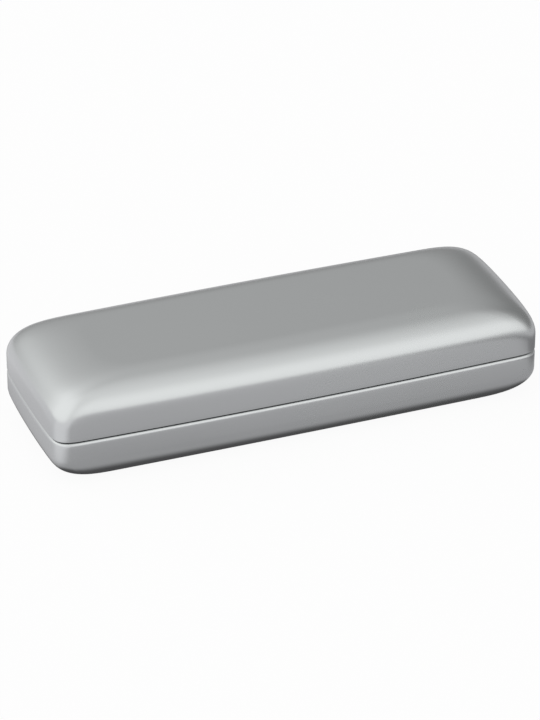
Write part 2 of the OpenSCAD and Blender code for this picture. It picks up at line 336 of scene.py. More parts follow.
@dataclass(frozen=True)
class SatinAluminium(Finish):
    """Fine-blasted aluminium under a thin clear seal, smooth and even."""

    roughness: float = 0.27
    grain_per_m: float = 2600.0
    cloud_per_m: float = 16.0
    grain_depth: float = 0.0015

    def paint(self, graph: Graph) -> Paint:
        """Even metal with a fine grain and faint clouds in its gloss.

        Args:
            graph: Graph that gets the pattern's nodes.

        Returns:
            The constant sockets and the varying ones, by name.
        """
        place = graph.coordinates()
        grain = graph.noise(place, self.grain_per_m, 3.0, 0.6)
        cloud = graph.noise(place, self.cloud_per_m, 2.0, 0.5)
        color = graph.scaled(slot_color(self.slot), 0.98 + 0.03 * cloud + 0.01 * grain)
        roughness = self.roughness - 0.02 + 0.03 * cloud + 0.01 * grain
        normal = graph.bump(grain, self.grain_depth, 0.3)
        return {"Metallic": 1.0}, {"Base Color": color, "Roughness": roughness, "Normal": normal}


@dataclass(frozen=True)
class BrushedSteel(Finish):
    """Rolled steel strip, brushed along X."""

    roughness: float = 0.32
    strokes_per_m: tuple[float, float, float] = (60.0, 3600.0, 3600.0)
    stains_per_m: float = 180.0
    stroke_depth: float = 0.006

    def paint(self, graph: Graph) -> Paint:
        """Long fine strokes in the color, the roughness and the relief.

        Args:
            graph: Graph that gets the pattern's nodes.

        Returns:
            The constant sockets and the varying ones, by name.
        """
        stroke = graph.noise(graph.coordinates(self.strokes_per_m), 1.0, 3.0, 0.6)
        stain = graph.noise(graph.coordinates(), self.stains_per_m, 3.0)
        color = graph.scaled(slot_color(self.slot), 0.86 + 0.16 * stroke + 0.10 * stain)
        roughness = self.roughness - 0.08 + 0.14 * stroke + 0.06 * stain
        normal = graph.bump(stroke, self.stroke_depth, 0.6)
        return {"Metallic": 1.0}, {"Base Color": color, "Roughness": roughness, "Normal": normal}


@dataclass(frozen=True)
class MouldedPlastic(Finish):
    """Dark moulded lining with a fine leather-like grain."""

    roughness: float = 0.46
    cells_per_m: float = 1500.0
    bends_per_m: float = 700.0
    flow_per_m: tuple[float, float, float] = (20.0, 90.0, 90.0)
    cell_depth: float = 0.035

    def paint(self, graph: Graph) -> Paint:
        """Small rounded cells in the relief, with flow marks in the gloss.

        Args:
            graph: Graph that gets the pattern's nodes.

        Returns:
            The constant sockets and the varying ones, by name.
        """
        place = graph.coordinates()
        bend = graph.noise(place, self.bends_per_m, 2.0)
        links = {"Vector": graph.scaled(place, 1.0 + 0.01 * bend), "Scale": self.cells_per_m}
        cell = graph.node("ShaderNodeTexVoronoi", {"feature": "SMOOTH_F1"}, links)
        flow = graph.noise(graph.coordinates(self.flow_per_m), 1.0, 3.0)
        color = graph.scaled(slot_color(self.slot), 0.85 + 0.2 * flow + 0.15 * cell)
        roughness = self.roughness - 0.06 + 0.1 * flow + 0.06 * cell
        normal = graph.bump(cell, self.cell_depth, 0.5)
        return {}, {"Base Color": color, "Roughness": roughness, "Normal": normal}


@dataclass(frozen=True)
class FlockedFoam(Finish):
    """Dark foam with a short nap: matt, speckled and slightly uneven."""

    fibres_per_m: float = 2400.0
    patches_per_m: float = 60.0
    specks_per_m: float = 1150.0
    speck_color: Color = (0.16, 0.16, 0.17)
    fibre_depth: float = 0.09
    patch_depth: float = 0.25

    def paint(self, graph: Graph) -> Paint:
        """Speckles of lighter fibre over a matt ground with soft patches of pressed nap.

        Args:
            graph: Graph that gets the pattern's nodes.

        Returns:
            The constant sockets and the varying ones, by name.
        """
        place = graph.coordinates()
        fibre = graph.noise(place, self.fibres_per_m, 3.0, 0.65)
        patch = graph.noise(place, self.patches_per_m, 3.0)
        speck = graph.noise(place, self.specks_per_m, 2.0, 0.6).smooth(0.6, 0.74)
        ground = graph.scaled(slot_color(self.slot), 0.7 + 0.5 * fibre + 0.35 * patch)
        color = graph.mix(0.16 * speck, ground, self.speck_color)
        roughness = 0.84 + 0.12 * fibre
        pressed = graph.bump(patch, self.patch_depth, 0.4)
        normal = graph.bump(fibre, self.fibre_depth, 0.8, pressed)
        constants = {"Sheen Weight": 0.25, "Sheen Roughness": 0.4, "Specular IOR Level": 0.25}
        return constants, {"Base Color": color, "Roughness": roughness, "Normal": normal}


@dataclass(frozen=True)
class Lacquer(Finish):
    """Colored lacquer over a wooden casing, with the grain just showing through."""

    grain_per_m: tuple[float, float, float] = (24.0, 800.0, 800.0)
    dents_per_m: float = 420.0
    grain_depth: float = 0.012
    dent_depth: float = 0.03

    def paint(self, graph: Graph) -> Paint:
        """Clear-coated color with faint lengthwise grain and small dents.

        Args:
            graph: Graph that gets the pattern's nodes.

        Returns:
            The constant sockets and the varying ones, by name.
        """
        grain = graph.noise(graph.coordinates(self.grain_per_m), 1.0, 3.0, 0.6)
        dent = graph.noise(graph.coordinates(), self.dents_per_m, 2.0).smooth(0.64, 0.8)
        color = graph.scaled(slot_color(self.slot), 0.93 + 0.1 * grain + 0.04 * dent)
        roughness = 0.26 + 0.12 * grain + 0.05 * dent
        dented = graph.bump(dent, self.dent_depth, 0.5)
        normal = graph.bump(grain, self.grain_depth, 0.5, dented)
        constants = {"Coat Weight": 0.6, "Coat Roughness": 0.12}
        return constants, {"Base Color": color, "Roughness": roughness, "Normal": normal}


@dataclass(frozen=True)
class BareWood(Finish):
    """Sharpened cedar: warm streaks along the pencil and fine pores."""

    streaks_per_m: tuple[float, float, float] = (45.0, 900.0, 900.0)
    pores_per_m: tuple[float, float, float] = (260.0, 3200.0, 3200.0)
    late_wood: Color = (0.38, 0.20, 0.09)
    middle_wood: Color = (0.58, 0.35, 0.18)
    early_wood: Color = (0.72, 0.48, 0.28)
    grain_depth: float = 0.03

    def paint(self, graph: Graph) -> Paint:
        """Grain stretched along X, darker in its late wood, with short dark pores.

        Args:
            graph: Graph that gets the pattern's nodes.

        Returns:
            The constant sockets and the varying ones, by name.
        """
        streak = graph.noise(graph.coordinates(self.streaks_per_m), 1.0, 4.0, 0.6)
        pore = graph.noise(graph.coordinates(self.pores_per_m), 1.0, 2.0).smooth(0.6, 0.75)
        stops = ((0.3, self.late_wood), (0.5, self.middle_wood), (0.7, self.early_wood))
        color = graph.scaled(graph.ramp(streak, *stops), 1.0 - 0.25 * pore)
        normal = graph.bump(streak - 0.4 * pore, self.grain_depth, 0.6)
        return {}, {"Base Color": color, "Roughness": 0.6 + 0.15 * streak, "Normal": normal}


@dataclass(frozen=True)
class WaxCore(Finish):
    """Waxy pigment core with the fine rings that sharpening leaves."""

    mottles_per_m: float = 1400.0
    cuts_per_m: tuple[float, float, float] = (2600.0, 260.0, 260.0)
    cut_depth: float = 0.02

    def paint(self, graph: Graph) -> Paint:
        """Slightly mottled color, cut marks across X and a soft gloss.

        Args:
            graph: Graph that gets the pattern's nodes.

        Returns:
            The constant sockets and the varying ones, by name.
        """
        mottle = graph.noise(graph.coordinates(), self.mottles_per_m, 3.0)
        cut = graph.noise(graph.coordinates(self.cuts_per_m), 1.0, 2.0)
        color = graph.scaled(slot_color(self.slot), 0.88 + 0.16 * mottle + 0.08 * cut)
        normal = graph.bump(cut, self.cut_depth, 0.6)
        return {}, {"Base Color": color, "Roughness": 0.42 + 0.2 * mottle, "Normal": normal}


# ---- Surfaces ----


@dataclass
class Solid:
    """Closed surface under construction: points in millimetres and the faces between them."""

    points: list[Array] = field(default_factory=list)
    faces: list[Array] = field(default_factory=list)
    finishes: list[Array] = field(default_factory=list)
    count: int = 0
    closed_groups: int = 0

    def add_points(self, grid: Array) -> Array:
        """Adds points.

        Args:
            grid: Points, in an array of any shape whose last axis is x, y, z.

        Returns:
            Their numbers, in the same shape without the last axis.
        """
        flat = grid.reshape(-1, 3)
        numbers = np.arange(len(flat)).reshape(grid.shape[:-1]) + self.count
        self.points.append(flat)
        self.count += len(flat)
        return numbers

    def add_faces(self, corners: Array, finish: Union[int, Array] = 0) -> None:
        """Adds faces of one corner count, with one finish or one for each face."""
        self.faces.append(corners)
        self.finishes.append(np.broadcast_to(finish, len(corners)).astype(np.int32))

    def add_grid(
        self,
        grid: Array,
        close_rows: bool = False,
        close_columns: bool = True,
        finish: Union[int, Array] = 0,
    ) -> Array:
        """Adds a surface of two parameters: four neighbouring grid points make a face.

        Args:
            grid: Points in rows and columns.
            close_rows: Whether the last row joins the first.
            close_columns: Whether the last column joins the first.
            finish: Number of the finish, or one number for each band between two rows.

        Returns:
            The numbers of the points.
        """
        numbers = self.add_points(grid)
        wrapped = numbers
        if close_rows:
            wrapped = np.vstack([wrapped, wrapped[:1]])
        if close_columns:
            wrapped = np.hstack([wrapped, wrapped[:, :1]])
        corners = [wrapped[:-1, :-1], wrapped[1:, :-1], wrapped[1:, 1:], wrapped[:-1, 1:]]
        quads = np.stack(corners, -1)
        bands = np.broadcast_to(finish, len(quads))
        self.add_faces(quads.reshape(-1, 4), np.repeat(bands, quads.shape[1]))
        return numbers

    def add_caps(self, numbers: Array, last_only: bool = False) -> None:
        """Closes a grid's first and last rows with one flat face each.

        Args:
            numbers: Numbers of the grid's points.
            last_only: Whether the first row stays open.
        """
        if not last_only:
            self.add_faces(numbers[:1])
        self.add_faces(numbers[-1:, ::-1])

    def end_part(self) -> None:
        """Ends a closed part of the surface and lets its faces point outwards. Its signed volume
        is the sum over the triangles of each face's fan of corner . (next x after next) / 6."""
        points = np.concatenate(self.points)
        total = 0.0
        for faces in self.faces[self.closed_groups :]:
            corners = points[faces]
            crossed = np.cross(corners[:, 1:-1], corners[:, 2:])
            total += float(np.einsum("mj,mkj->", corners[:, 0], crossed)) / 6
        if total < 0:
            turned = [faces[:, ::-1] for faces in self.faces[self.closed_groups :]]
            self.faces[self.closed_groups :] = turned
        self.closed_groups = len(self.faces)

    def piece(self, name: str, finishes: Sequence[Finish], sharp_deg: float = 40.0) -> bpy.types.Object:
        """Makes the object and merges its doubled points.

        Args:
            name: Name of the piece.
            finishes: Finishes by number.
            sharp_deg: Angle between two faces from which their edge stays sharp.

        Returns:
            The new object, at the origin.
        """
        self.end_part()
        faces = [face for group in self.faces for face in group.tolist()]
        mesh = bpy.data.meshes.new(name)
        mesh.from_pydata((np.concatenate(self.points) * MM).tolist(), [], faces)
        for finish in finishes:
            mesh.materials.append(finish.material())
        mesh.polygons.foreach_set("material_index", np.concatenate(self.finishes))
        merge_doubles(mesh)
        mesh.shade_smooth()
        mesh.set_sharp_from_angle(angle=math.radians(sharp_deg))
        made = bpy.data.objects.new(name, mesh)
        bpy.context.scene.collection.objects.link(made)
        return made


def merge_doubles(mesh: bpy.types.Mesh, distance: float = 1e-7) -> None:
    """Merges points that lie in one place and drops the faces that this leaves without area.

    Args:
        mesh: The mesh.
        distance: Distance below which two points are one, in metres.
    """
    work = bmesh.new()
    work.from_mesh(mesh)
    bmesh.ops.remove_doubles(work, verts=work.verts, dist=distance)
    bmesh.ops.dissolve_degenerate(work, edges=work.edges, dist=distance / 2)
    work.to_mesh(mesh)
    work.free()
    mesh.validate()


def break_edges(
    mesh: bpy.types.Mesh, width: float, least_deg: float = 50.0, distance: float = 1e-7
) -> None:
    """Bevels a mesh's outward edges that are sharper than an angle.

    Args:
        mesh: The mesh.
        width: Width of the bevel, in millimetres.
        least_deg: Angle between two faces from which their edge is bevelled.
        distance: Distance below which two points are one, in metres.
    """
    work = bmesh.new()
    work.from_mesh(mesh)
    least = math.radians(least_deg)
    edges = [edge for edge in work.edges if edge.calc_face_angle_signed(0.0) > least]
    bmesh.ops.bevel(work, geom=edges, offset=width * MM, segments=2, affect="EDGES", profile=0.5)
    bmesh.ops.remove_doubles(work, verts=work.verts, dist=distance)
    bmesh.ops.dissolve_degenerate(work, edges=work.edges, dist=distance)
    work.to_mesh(mesh)
    work.free()
    mesh.shade_smooth()
    mesh.set_sharp_from_angle(angle=least)


def attach(piece: bpy.types.Object, body: str, node: str) -> None:
    """Lets a piece ride on a body and stand for a CAD node.

    Args:
        piece: The piece.
        body: Name of the body.
        node: Name of the node.
    """
    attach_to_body(piece, body)
    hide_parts(node)
    LOG.info("%s rides on %s: %d faces", piece.name, body, len(piece.data.polygons))


def quarter(steps: int) -> Array:
    """Angles from 0 to a right angle, in equal steps."""
    return np.linspace(0, math.pi / 2, steps + 1)


def revolved(profile: Array, steps: int) -> Array:
    """Turns a profile around the X axis: (x, r) becomes (x, r cos t, r sin t).

    Args:
        profile: Rows of x and r.
        steps: Points around the axis.

    Returns:
        Points in one row for each profile point.
    """
    t = np.arange(steps) * TURN / steps
    x, r = profile[:, :1], profile[:, 1:]
    return np.stack([x + 0 * t, r * np.cos(t), r * np.sin(t)], -1)


def box_mm(node: str) -> tuple[Array, Array]:
    """Lowest and highest corner of a CAD node, in millimetres."""
    low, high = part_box(node)
    return np.array(low) / MM, np.array(high) / MM


# ---- The case's outline and its levels ----


@dataclass(frozen=True)
class Levels:
    """Stack of outlines: insets at the ends, front and back, corner radii, bulges of the long
    sides, lengths over which the arcs blend into each other, heights, and how much higher each
    outline lies at its corners."""

    insets: Array
    radii: Array
    bows: Array
    blends: Array
    heights: Array
    lifts: Array

    def arrays(self) -> tuple[Array, ...]:
        """All its arrays, in order."""
        return self.insets, self.radii, self.bows, self.blends, self.heights, self.lifts

    def __add__(self, other: "Levels") -> "Levels":
        """This stack followed by another."""
        return Levels(*(np.concatenate(pair) for pair in zip(self.arrays(), other.arrays())))

    def reversed(self) -> "Levels":
        """The same stack from its other end."""
        return Levels(*(array[::-1] for array in self.arrays()))

    def inset_by(self, insets: Array) -> "Levels":
        """Upright levels of the same form that lie further inside, with their corners' middles kept."""
        return replace(self, insets=self.insets + insets, radii=self.radii - insets[0])

    def softened(self, loss: float, blend: float) -> "Levels":
        """The same stack with tighter corners that blend further into the sides. Two blends one
        after the other act as the root of the sum of their squares."""
        return replace(self, radii=self.radii - loss, blends=np.hypot(self.blends, blend))


@dataclass(frozen=True)
class Form:
    """Form of one half of the case: insets of its flat face, height of its upright wall, and
    towards the flat face the growth of its corner radius, the loss of its sides' bulge and the
    length over which its corners blend into its sides."""

    flat: Array
    wall_h: float
    corner_spread: float
    bow_loss: float
    blend: float


@dataclass(frozen=True)
class Outline:
    """Outline of the case seen from above: eight tangent arcs, anticlockwise."""

    length: float
    width: float
    corner_r: float = 7.6
    side_bow: float = 1.35
    end_bow: float = 0.8
    corner_reach: float = 11.0
    corner_steps: int = 24
    end_steps: int = 20
    shares: Array = field(default_factory=lambda: np.arange(72) / 72)

    @property
    def corner_x(self) -> float:
        """Distance from the middle to the corner circles' centres, the same at all upright levels."""
        return self.length / 2 - self.end_bow - self.corner_r

    def share_at(self, x: Array) -> Array:
        """Share of the front arc, from its left end, at which an upright level passes x."""
        spread = math.asin(self.corner_x / (self.side_arc_r - self.corner_r))
        return (np.arcsin(x / self.side_arc_r) / spread + 1) / 2

    @property
    def side_arc_r(self) -> float:
        """Radius of the arc along a long side."""
        return tangent_arc_r(self.corner_x, self.corner_r, self.side_bow)

    def rings(self, levels: Levels) -> Array:
        """Points of the outline at each level. A point of an arc is centre + r (cos a, sin a),
        and an arc that touches two corner circles has the radius of tangent_arc_r.

        Args:
            levels: Stack of levels.

        Returns:
            Points, in one row for each level.
        """
        end, front, back = levels.insets.T
        r = levels.radii
        hx = self.length / 2 - self.end_bow - end
        hy = self.width / 2 - self.side_bow - (front + back) / 2
        y = (front - back) / 2
        cx, cy = hx - r, hy - r
        side = tangent_arc_r(cx, r, levels.bows)
        tip = tangent_arc_r(cy, r, self.end_bow)
        sa, ea = np.arcsin(cx / (side - r)), np.arcsin(cy / (tip - r))
        sy, ex = hy + levels.bows - side, hx + self.end_bow - tip
        half, none = math.pi / 2, np.zeros_like(r)
        corner = np.arange(self.corner_steps) / self.corner_steps
        short = np.arange(self.end_steps) / self.end_steps
        arcs = [
            (none, y - sy, side, -half - sa, -half + sa, self.shares),
            (cx, y - cy, r, -half + sa, -ea, corner),
            (ex, y, tip, -ea, ea, short),
            (cx, y + cy, r, ea, half - sa, corner),
            (none, y + sy, side, half - sa, half + sa, self.shares),
            (-cx, y + cy, r, half + sa, 2 * half - ea, corner),
            (-ex, y, tip, 2 * half - ea, 2 * half + ea, short),
            (-cx, y - cy, r, 2 * half + ea, 3 * half - sa, corner),
        ]
        flat = np.concatenate([arc_points(*arc) for arc in arcs], axis=1)
        flat = np.array([blended(ring, blend) for ring, blend in zip(flat, levels.blends)])
        to_corner = np.hypot(self.length / 2 - abs(flat[..., 0]), self.width / 2 - abs(flat[..., 1]))
        near = np.exp(-((to_corner / self.corner_reach) ** 2))
        z = levels.heights[:, None] + levels.lifts[:, None] * near
        return np.concatenate([flat, z[..., None]], -1)

    def wall(self, insets: Array, heights: Array, lifts: Any = 0.0) -> Levels:
        """Upright levels of the case's own outline.

        Args:
            insets: One row of insets for each height, or one for all.
            heights: Heights of the levels.
            lifts: How much higher each level lies at its corners.

        Returns:
            The levels.
        """
        heights = np.atleast_1d(np.asarray(heights, float))
        insets = np.broadcast_to(insets, (len(heights), 3)).astype(float)
        bows = np.full(len(heights), self.side_bow)
        return Levels(insets, self.corner_r - insets[:, 0], bows, 0 * bows, heights, lifts + 0 * bows)

    def turn(
        self, form: Form, wall: Array, flat_z: float, wall_z: float, steps: int, lift: float = 0.0
    ) -> Levels:
        """Quarter-elliptic turn from a flat face to an upright wall. At the angle a, which falls
        from a right angle to 0, the inset is flat - (flat - wall) cos a and the height is
        wall_z + (flat_z - wall_z) sin a. The bulge falls and the blend grows as sin a squared,
        and the corners rise by lift (1 - sin a)^2.

        Args:
            form: Form of the half.
            wall: Insets of the wall.
            flat_z: Height of the flat face.
            wall_z: Height at which the wall starts.
            steps: Steps of the turn.
            lift: Rise of the corners where the wall starts.

        Returns:
            The levels, from the flat face to the wall.
        """
        a = quarter(steps)[::-1]
        insets = form.flat - (form.flat - wall) * np.cos(a)[:, None]
        radii = self.corner_r * (1 + form.corner_spread * (1 - np.cos(a))) - wall[0] * np.cos(a)
        bows = self.side_bow * (1 - form.bow_loss * np.sin(a) ** 2)
        blends = form.blend * np.sin(a) ** 2
        heights = wall_z + (flat_z - wall_z) * np.sin(a)
        return Levels(insets, radii, bows, blends, heights, lift * (1 - np.sin(a)) ** 2)

    def face(self, form: Form, z: float, borders: Sequence[float] = (10.0, 4.0, 1.0)) -> Levels:
        """Rings inside the edge of a flat face, from the innermost to the outermost.

        Args:
            form: Form of the half.
            z: Height of the face.
            borders: Distances from the face's edge.

        Returns:
            The levels.
        """
        borders = np.array(borders)
        radii = np.maximum(self.corner_r * (1 + form.corner_spread) - borders, 1.0)
        ones = np.ones(len(borders))
        bows = ones * self.side_bow * (1 - form.bow_loss)
        return Levels(form.flat + borders[:, None], radii, bows, ones * form.blend, ones * z, 0 * ones)

    def rim(
        self,
        thickness: float,
        rim_z: float,
        side: Side,
        outer: tuple[float, float],
        inner_r: float,
        steps: int,
    ) -> Levels:
        """Rounded rim from the outside to the inside.

        Args:
            thickness: Thickness of the wall at the rim.
            rim_z: Height of the rim.
            side: Side of the seam that the wall lies on.
            outer: Depth and height of the quarter ellipse at the outer edge.
            inner_r: Radius of the quarter circle at the inner edge.
            steps: Steps of each edge.

        Returns:
            The levels.
        """
        a = quarter(steps)
        out, rise = outer[0] * (1 - np.cos(a)), outer[1] * (1 - np.sin(a))
        back, fall = thickness - inner_r * (1 - np.cos(a)), inner_r * (1 - np.sin(a))
        depth = np.concatenate([out, back[::-1]])[:, None] * np.ones(3)
        return self.wall(depth, rim_z + side * np.concatenate([rise, fall[::-1]]))


def tangent_arc_r(c: Any, r: Any, bow: float) -> Any:
    """Radius of the arc that touches two corner circles of radius r, whose middles lie c to
    each side, and stands bow beyond them."""
    return (c * c + 2 * r * bow + bow * bow) / (2 * bow)


def blended(ring: Array, spread: float, least: float = 0.05) -> Array:
    """Blends the arcs of a closed ring into each other. Every point becomes the mean of the
    ring around it, with the weight e^(-(distance / spread)^2 / 2).

    Args:
        ring: Points of the ring, x and y.
        spread: Length over which the arcs blend.
        least: Spread below which the ring stays as it is.

    Returns:
        The blended points.
    """
    if spread < least:
        return ring
    steps = np.linalg.norm(np.roll(ring, -1, axis=0) - ring, axis=1)
    way = np.cumsum(steps) - steps
    reach = np.linspace(-2.5, 2.5, 25)
    weights = np.exp(-(reach**2) / 2)
    places = way[:, None] + spread * reach
    around = [np.interp(places, way, ring[:, axis], period=steps.sum()) for axis in (0, 1)]
    return np.stack(around, -1).transpose(0, 2, 1) @ (weights / weights.sum())


def arc_points(x: Array, y: Array, r: Array, start: Array, end: Array, shares: Array) -> Array:
    """Points centre + r (cos a, sin a) of one arc at every level.

    Args:
        x: Place of the centre along X at each level.
        y: Place of the centre along Y.
        r: Radius.
        start: Angle at which the arc starts.
        end: Angle at which it ends.
        shares: Shares of the arc's angle at which its points lie.

    Returns:
        Points, in one row for each level.
    """
    angle = start[:, None] + (end - start)[:, None] * shares
    spokes = r[:, None, None] * np.stack([np.cos(angle), np.sin(angle)], -1)
    return np.stack([x, y], -1)[:, None] + spokes


# ---- Sizes that the whole case shares ----


@dataclass(frozen=True)
class CasePlan:
    """Sizes of the case, read from the frame where it has them."""

    sheet_t: float = 0.8
    hem_h: float = 5.8
    edge_r: float = 0.5
    liner_t: float = 0.8
    leaf_t: float = 0.5
    leaf_h: float = 5.5
    leaf_gap: float = 0.1
    knuckle_gap: float = 0.2
    bed_clearance: float = 0.2
    lid_form: Form = Form(np.array([25.8, 14.4, 14.4]), 8.45, 0.18, 0.5, 5.0)
    base_form: Form = Form(np.array([21.0, 9.8, 9.8]), 8.2, 0.1, 0.95, 3.0)
    joint: Mapping[str, Any] = field(
        default_factory=lambda: next(j for j in frame["joints"] if j["name"] == "lid_hinge")
    )

    @property
    def seam_z(self) -> float:
        """Height of the seam, in whose plane the hinge's axis lies."""
        return self.joint["pos_m"][2] / MM

    @property
    def hinge_y(self) -> float:
        """Place of the hinge's axis."""
        return self.joint["pos_m"][1] / MM

    @property
    def half_size(self) -> Array:
        """Half of the case's length and width, and its height."""
        return box_mm("lid_shell")[1]

    @property
    def hem_w(self) -> float:
        """Thickness of the folded rim."""
        return 2 * self.sheet_t

    @property
    def leaf_y(self) -> float:
        """Face of the hinge leaves that looks to the rear."""
        return box_mm("base_hinge_leaf")[0][1] + self.leaf_t

    def outline(self, shares: Optional[Array] = None) -> Outline:
        """Outline of the case, where wanted with its own places of the points along a long side."""
        plain = Outline(*(self.half_size[:2] * 2))
        return plain if shares is None else replace(plain, shares=shares)

    def insets(self, node: str) -> Array:
        """How far a CAD node stays inside the case.

        Args:
            node: Name of the node.

        Returns:
            The insets at the ends, the front and the back.
        """
        low, high = box_mm(node)
        size = self.half_size
        return np.array([size[0] - high[0], size[1] + low[1], size[1] - high[1]])


# ---- Shells of the case ----


@dataclass(frozen=True)
class Shell:
    """One pressed half of the case, with a folded hem behind its rounded rim."""

    name: str
    node: str
    body: Body
    side: Side
    form: Form
    knuckles: Sequence[tuple[float, float]]
    plan: CasePlan
    finish: Finish
    outer_edge: tuple[float, float]
    corner_lift: float = 0.0
    corner_blend: float = 3.0
    radius_loss: float = 1.4
    hem_end_h: float = 0.6
    turn_steps: int = 40
    wall_steps: int = 5
    rim_steps: int = 8
    fold_steps: int = 3
    inner_steps: int = 14

    def notch_marks(self, outline: Outline) -> tuple[Array, Array]:
        """Places of the points along a long side, with two at each edge of a tongue notch.

        Args:
            outline: Outline with evenly spread points.

        Returns:
            The shares, and for each whether it lies in a notch of the rear side.
        """
        gap = self.plan.knuckle_gap / 2
        edges = np.array([(x - gap, x + length + gap) for x, length in self.knuckles])
        ends = 1 - outline.share_at(edges)[:, ::-1]
        nudge = 1e-8
        doubled = (ends[..., None] + np.array([-nudge, nudge])).ravel()
        shares = np.sort(np.concatenate([outline.shares, doubled]))
        inside = np.any((shares > ends[:, :1]) & (shares < ends[:, 1:]), axis=0)
        return shares, inside

    def levels(self, outline: Outline) -> Levels:
        """Whole skin: outer face, turn, wall, rim, hem, inner turn and inner face.

        Args:
            outline: Outline of the case.

        Returns:
            The levels, from the middle of the outer face to the middle of the inner one.
        """
        plan, side = self.plan, self.side
        flat_z = plan.half_size[2] if side is Side.ABOVE else 0.0
        rim_z = box_mm(self.node)[0 if side is Side.ABOVE else 1][2]
        wall_z = plan.seam_z + side * self.form.wall_h
        inner_z = flat_z - side * plan.sheet_t
        sheet = np.full(3, plan.sheet_t)
        hem = np.full(3, plan.hem_w)
        steps = self.wall_steps + 1
        wall = np.linspace(wall_z, rim_z + side * self.outer_edge[1], steps)[1:-1]
        lifts = np.linspace(self.corner_lift, 0, steps)[1:-1]
        outer = (
            outline.face(self.form, flat_z)
            + outline.turn(self.form, np.zeros(3), flat_z, wall_z, self.turn_steps, self.corner_lift)
            + outline.wall(np.zeros(3), wall, lifts)
            + outline.rim(plan.hem_w, rim_z, side, self.outer_edge, plan.edge_r, self.rim_steps)
        ).softened(self.radius_loss, self.corner_blend)
        fold = plan.edge_r * (1 - np.cos(quarter(self.fold_steps)))
        hem_z = rim_z + side * plan.hem_h
        heights = hem_z + side * np.append(-plan.edge_r, fold)
        folded = outline.wall(hem - np.append(0, fold)[:, None], heights)
        inner = (
            outline.face(self.form, inner_z)
            + outline.turn(self.form, sheet, inner_z, wall_z, self.inner_steps)
        ).reversed()
        return outer + folded + outline.wall(sheet, hem_z + side * self.hem_end_h) + inner

    def build(self) -> None:
        """Makes the skin. A notch for a tongue of the hinge is a stretch of the rear side whose
        levels all keep away from the seam by the notch's depth."""
        plain = self.plan.outline()
        shares, inside = self.notch_marks(plain)
        outline = self.plan.outline(shares)
        rings = outline.rings(self.levels(outline))
        rear = np.zeros(rings.shape[1], bool)
        start = len(shares) + 2 * outline.corner_steps + outline.end_steps
        rear[start : start + len(shares)] = inside
        depth = 2 * self.plan.leaf_gap + self.plan.leaf_t
        floor = self.plan.seam_z + self.side * depth
        heights = self.side * np.maximum(self.side * rings[..., 2], self.side * floor)
        rings[..., 2] = np.where(rear, heights, rings[..., 2])
        solid = Solid()
        solid.add_caps(solid.add_grid(rings))
        attach(solid.piece(self.name, [self.finish]), self.body.value, self.node)


@dataclass(frozen=True)
class Liner:
    """Moulded lining of one half, with a rounded lip."""

    name: str
    node: str
    body: Body
    side: Side
    form: Form
    plan: CasePlan
    finish: Finish
    lip_r: float = 0.3
    outer_steps: int = 20
    lip_steps: int = 4
    inner_steps: int = 28

    def build(self) -> None:
        """Makes the lining from its outer turn, its lip and its inner turn."""
        plan, side = self.plan, self.side
        outline = plan.outline()
        outer = plan.insets(self.node)
        low, high = box_mm(self.node)
        flat_z, lip_z = (high[2], low[2]) if side is Side.ABOVE else (low[2], high[2])
        inner_z = flat_z - side * plan.liner_t
        wall_z = plan.seam_z + side * self.form.wall_h
        edge = (self.lip_r, self.lip_r)
        lip = outline.rim(plan.liner_t, lip_z, side, edge, self.lip_r, self.lip_steps)
        inner = outer + plan.liner_t
        levels = (
            outline.face(self.form, flat_z)
            + outline.turn(self.form, outer, flat_z, wall_z, self.outer_steps)
            + lip.inset_by(outer)
            + outline.turn(self.form, inner, inner_z, wall_z, self.inner_steps).reversed()
            + outline.face(self.form, inner_z).reversed()
        )
        solid = Solid()
        solid.add_caps(solid.add_grid(outline.rings(levels)))
        attach(solid.piece(self.name, [self.finish]), self.body.value, self.node)


# ---- Foam ----


